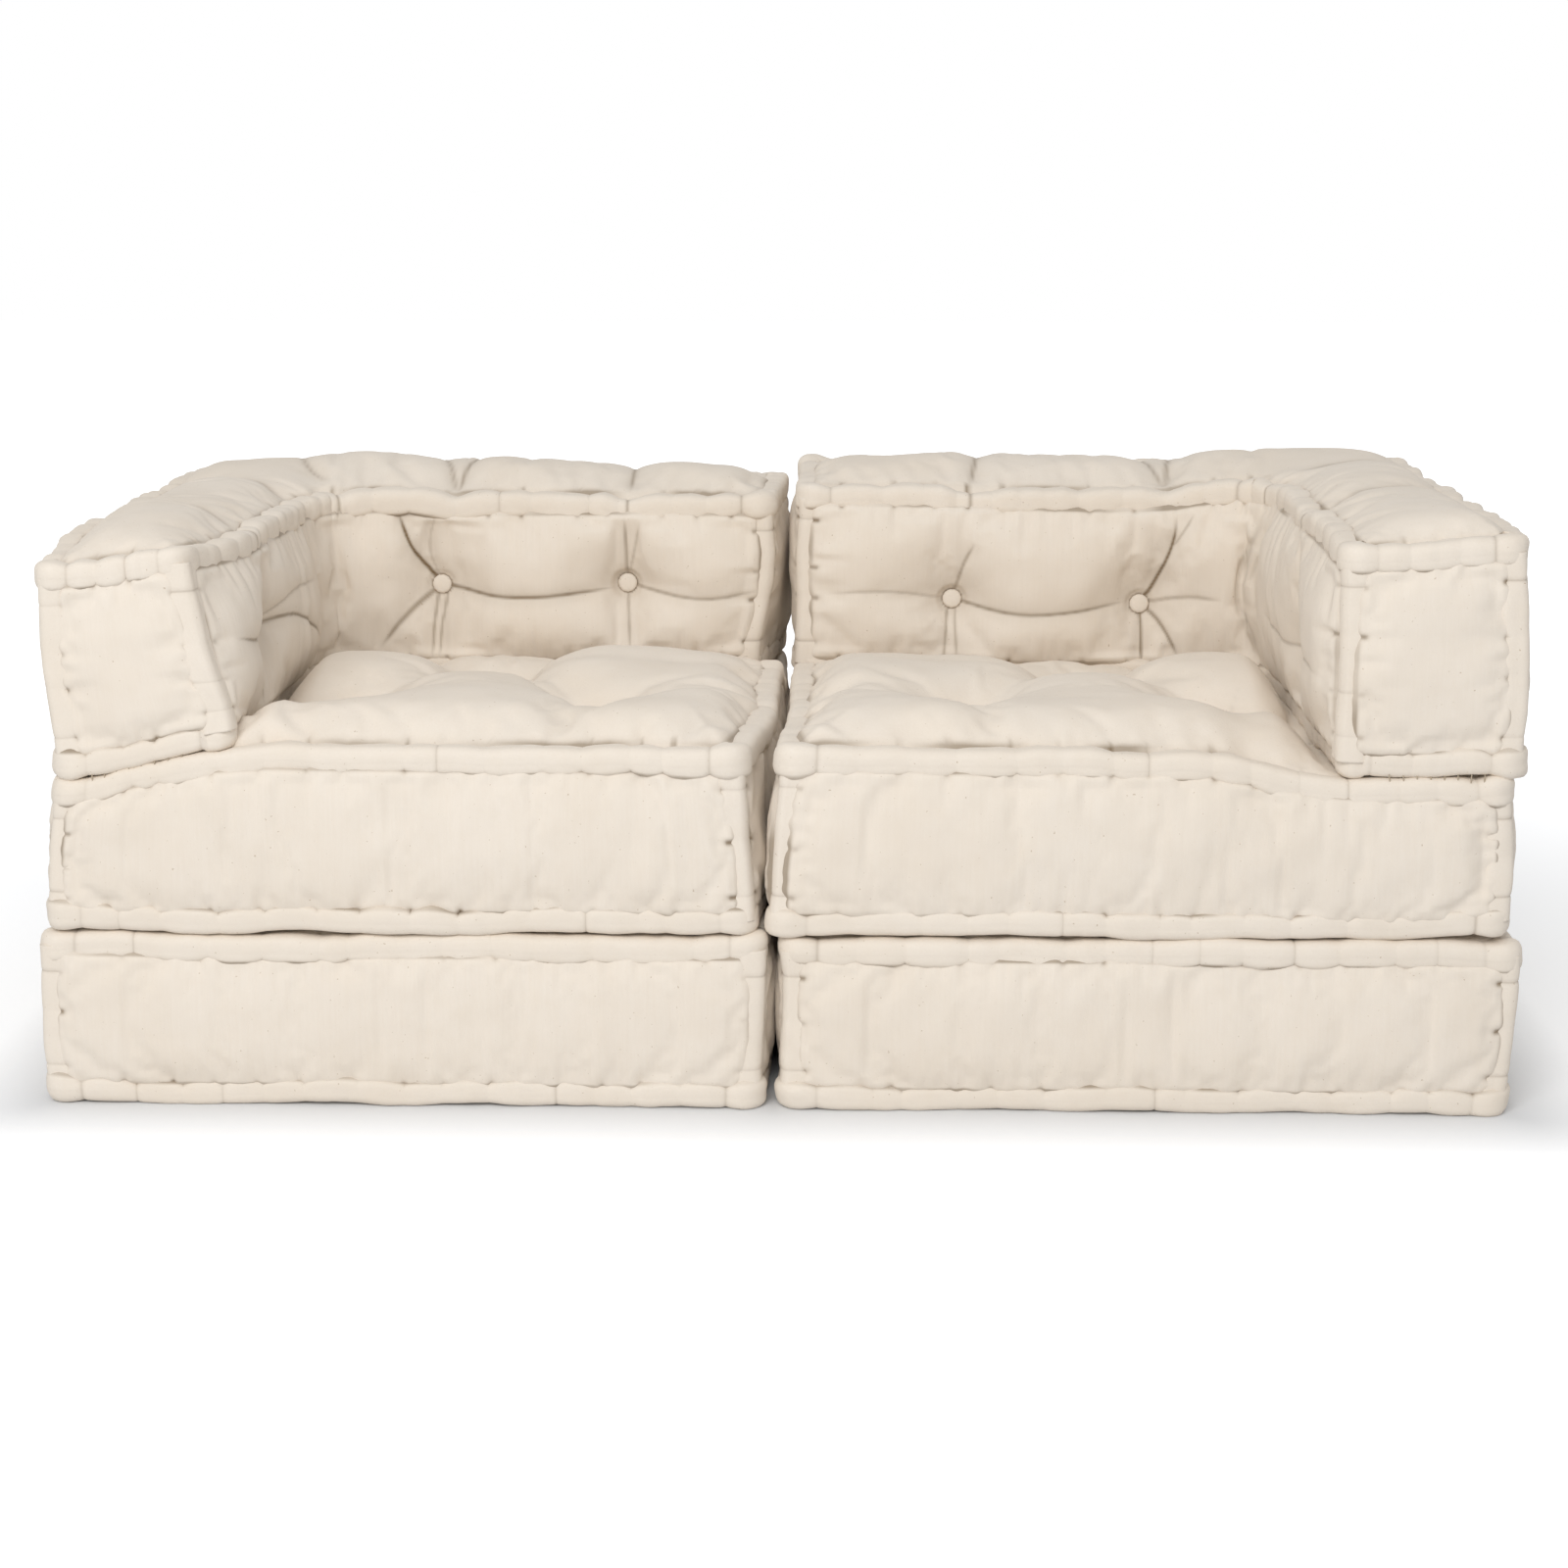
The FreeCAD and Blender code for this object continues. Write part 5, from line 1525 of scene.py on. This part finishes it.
class SOFA_OT_buttons(bpy.types.Operator):
    """Make the covered buttons of the corner cushions"""

    bl_idname = "sofa.buttons"
    bl_label = "Covered buttons"

    def execute(self, context):
        material = canvas("button_canvas", 0.6 * MM)
        for side in SIDES:
            cushion = Cushion(side, "corner")
            for node, sign in (("inside_buttons", -1), ("outside_buttons", 1)):
                buttons = []
                for k, place in enumerate(node_places(f"{cushion.name}_{node}")):
                    inward = (-1, 0, 0) if place[1] < 0 else (0, 1, 0)
                    outward = [sign * c for c in inward]
                    buttons.append(make_button(cushion.settled(place), outward, k + cushion.seed, material))
                obj = joined(f"{cushion.name}_{node}_covered", buttons)
                place_piece(obj, cushion, "covered_buttons", node)
        return {"FINISHED"}


class SOFA_OT_threads(bpy.types.Operator):
    """Make the stitches between corner cushion and seat, and finish the tufting twine"""

    bl_idname = "sofa.threads"
    bl_label = "Stitches and twine"

    def execute(self, context):
        material = waxed_thread("waxed_thread")
        for side in SIDES:
            cushion = Cushion(side, "corner")
            solids = islands(f"{cushion.name}_tack_stitches")
            stitches = [make_stitch(cushion.settle(points), k, material) for k, points in enumerate(solids)]
            obj = joined(f"{cushion.name}_sewn_stitches", stitches)
            place_piece(obj, cushion, "cotton_twine", "tack_stitches")
            for kind in ("seat", "corner"):
                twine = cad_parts[f"{side}_{kind}_tuft_twine"]
                if not twine.material_slots:
                    twine.data.materials.append(material)
                for slot in twine.material_slots:
                    slot.material = material
        return {"FINISHED"}


# The camera's place, and how many degrees it looks down and to its left
CAMERA_PLACE, CAMERA_DOWN, CAMERA_TURN = (0.080, -2.934, 0.897), 12.61, 1.59
# The soft front light's place, what it is aimed at, and its width and height
LAMP_PLACE, LAMP_AIM, LAMP_SIZE = (-0.85, -3.8, 2.85), (0, 0, 0.25), (2.6, 2.0)
# Half the floor's width
FLOOR_REACH = 12


class SOFA_OT_stage(bpy.types.Operator):
    """Set the camera, the floor and the soft light"""

    bl_idname = "sofa.stage"
    bl_label = "Stage"

    def execute(self, context):
        stage = context.scene.sofa_stage
        camera = bpy.data.objects.new("camera", bpy.data.cameras.new("camera"))
        camera.location = CAMERA_PLACE
        camera.rotation_euler = (math.radians(90 - CAMERA_DOWN), 0, math.radians(CAMERA_TURN))
        camera.data.lens = stage.lens
        context.scene.collection.objects.link(camera)
        context.scene.camera = camera
        bm = bmesh.new()
        bmesh.ops.create_grid(bm, x_segments=1, y_segments=1, size=FLOOR_REACH)
        new_object("floor", bm, white_floor())
        world = context.scene.world or bpy.data.worlds.new("world")
        context.scene.world = world
        world.use_nodes = True
        nodes, links = world.node_tree.nodes, world.node_tree.links
        nodes["Background"].inputs["Color"].default_value = (1, 1, 1, 1)
        ray = nodes.new("ShaderNodeLightPath")
        glow = nodes.new("ShaderNodeMapRange")
        glow.inputs["To Min"].default_value = stage.sky
        glow.inputs["To Max"].default_value = 1.0
        links.new(ray.outputs["Is Camera Ray"], glow.inputs["Value"])
        links.new(glow.outputs["Result"], nodes["Background"].inputs["Strength"])
        light = bpy.data.lights.new("front_softbox", "AREA")
        light.shape = "RECTANGLE"
        light.size, light.size_y = LAMP_SIZE
        light.energy = stage.key_power
        lamp = bpy.data.objects.new("front_softbox", light)
        lamp.location = LAMP_PLACE
        aim = Vector(LAMP_AIM) - lamp.location
        lamp.rotation_euler = aim.to_track_quat("-Z", "Y").to_euler()
        context.scene.collection.objects.link(lamp)
        context.scene.view_settings.view_transform = "Standard"
        return {"FINISHED"}


class SOFA_PT_panel(bpy.types.Panel):
    """Lists the steps that build the sofa"""

    bl_label = "Sofa"
    bl_idname = "SOFA_PT_panel"
    bl_space_type = "VIEW_3D"
    bl_region_type = "UI"
    bl_category = "Sofa"

    def draw(self, context):
        for step in (SOFA_OT_covers, SOFA_OT_rolls, SOFA_OT_buttons, SOFA_OT_threads, SOFA_OT_stage):
            self.layout.operator(step.bl_idname)


CLASSES = (SofaSizes, CanvasFinish, StageSettings, SOFA_OT_covers, SOFA_OT_rolls, SOFA_OT_buttons,
           SOFA_OT_threads, SOFA_OT_stage, SOFA_PT_panel)


def register():
    for item in CLASSES:
        bpy.utils.register_class(item)
    bpy.types.Scene.sofa_sizes = PointerProperty(type=SofaSizes)
    bpy.types.Scene.sofa_finish = PointerProperty(type=CanvasFinish)
    bpy.types.Scene.sofa_stage = PointerProperty(type=StageSettings)


def unregister():
    del bpy.types.Scene.sofa_sizes, bpy.types.Scene.sofa_finish, bpy.types.Scene.sofa_stage
    for item in reversed(CLASSES):
        bpy.utils.unregister_class(item)


def main():
    register()
    bpy.ops.sofa.covers()
    bpy.ops.sofa.rolls()
    bpy.ops.sofa.buttons()
    bpy.ops.sofa.threads()
    bpy.ops.sofa.stage()


if __name__ == "__main__":
    main()
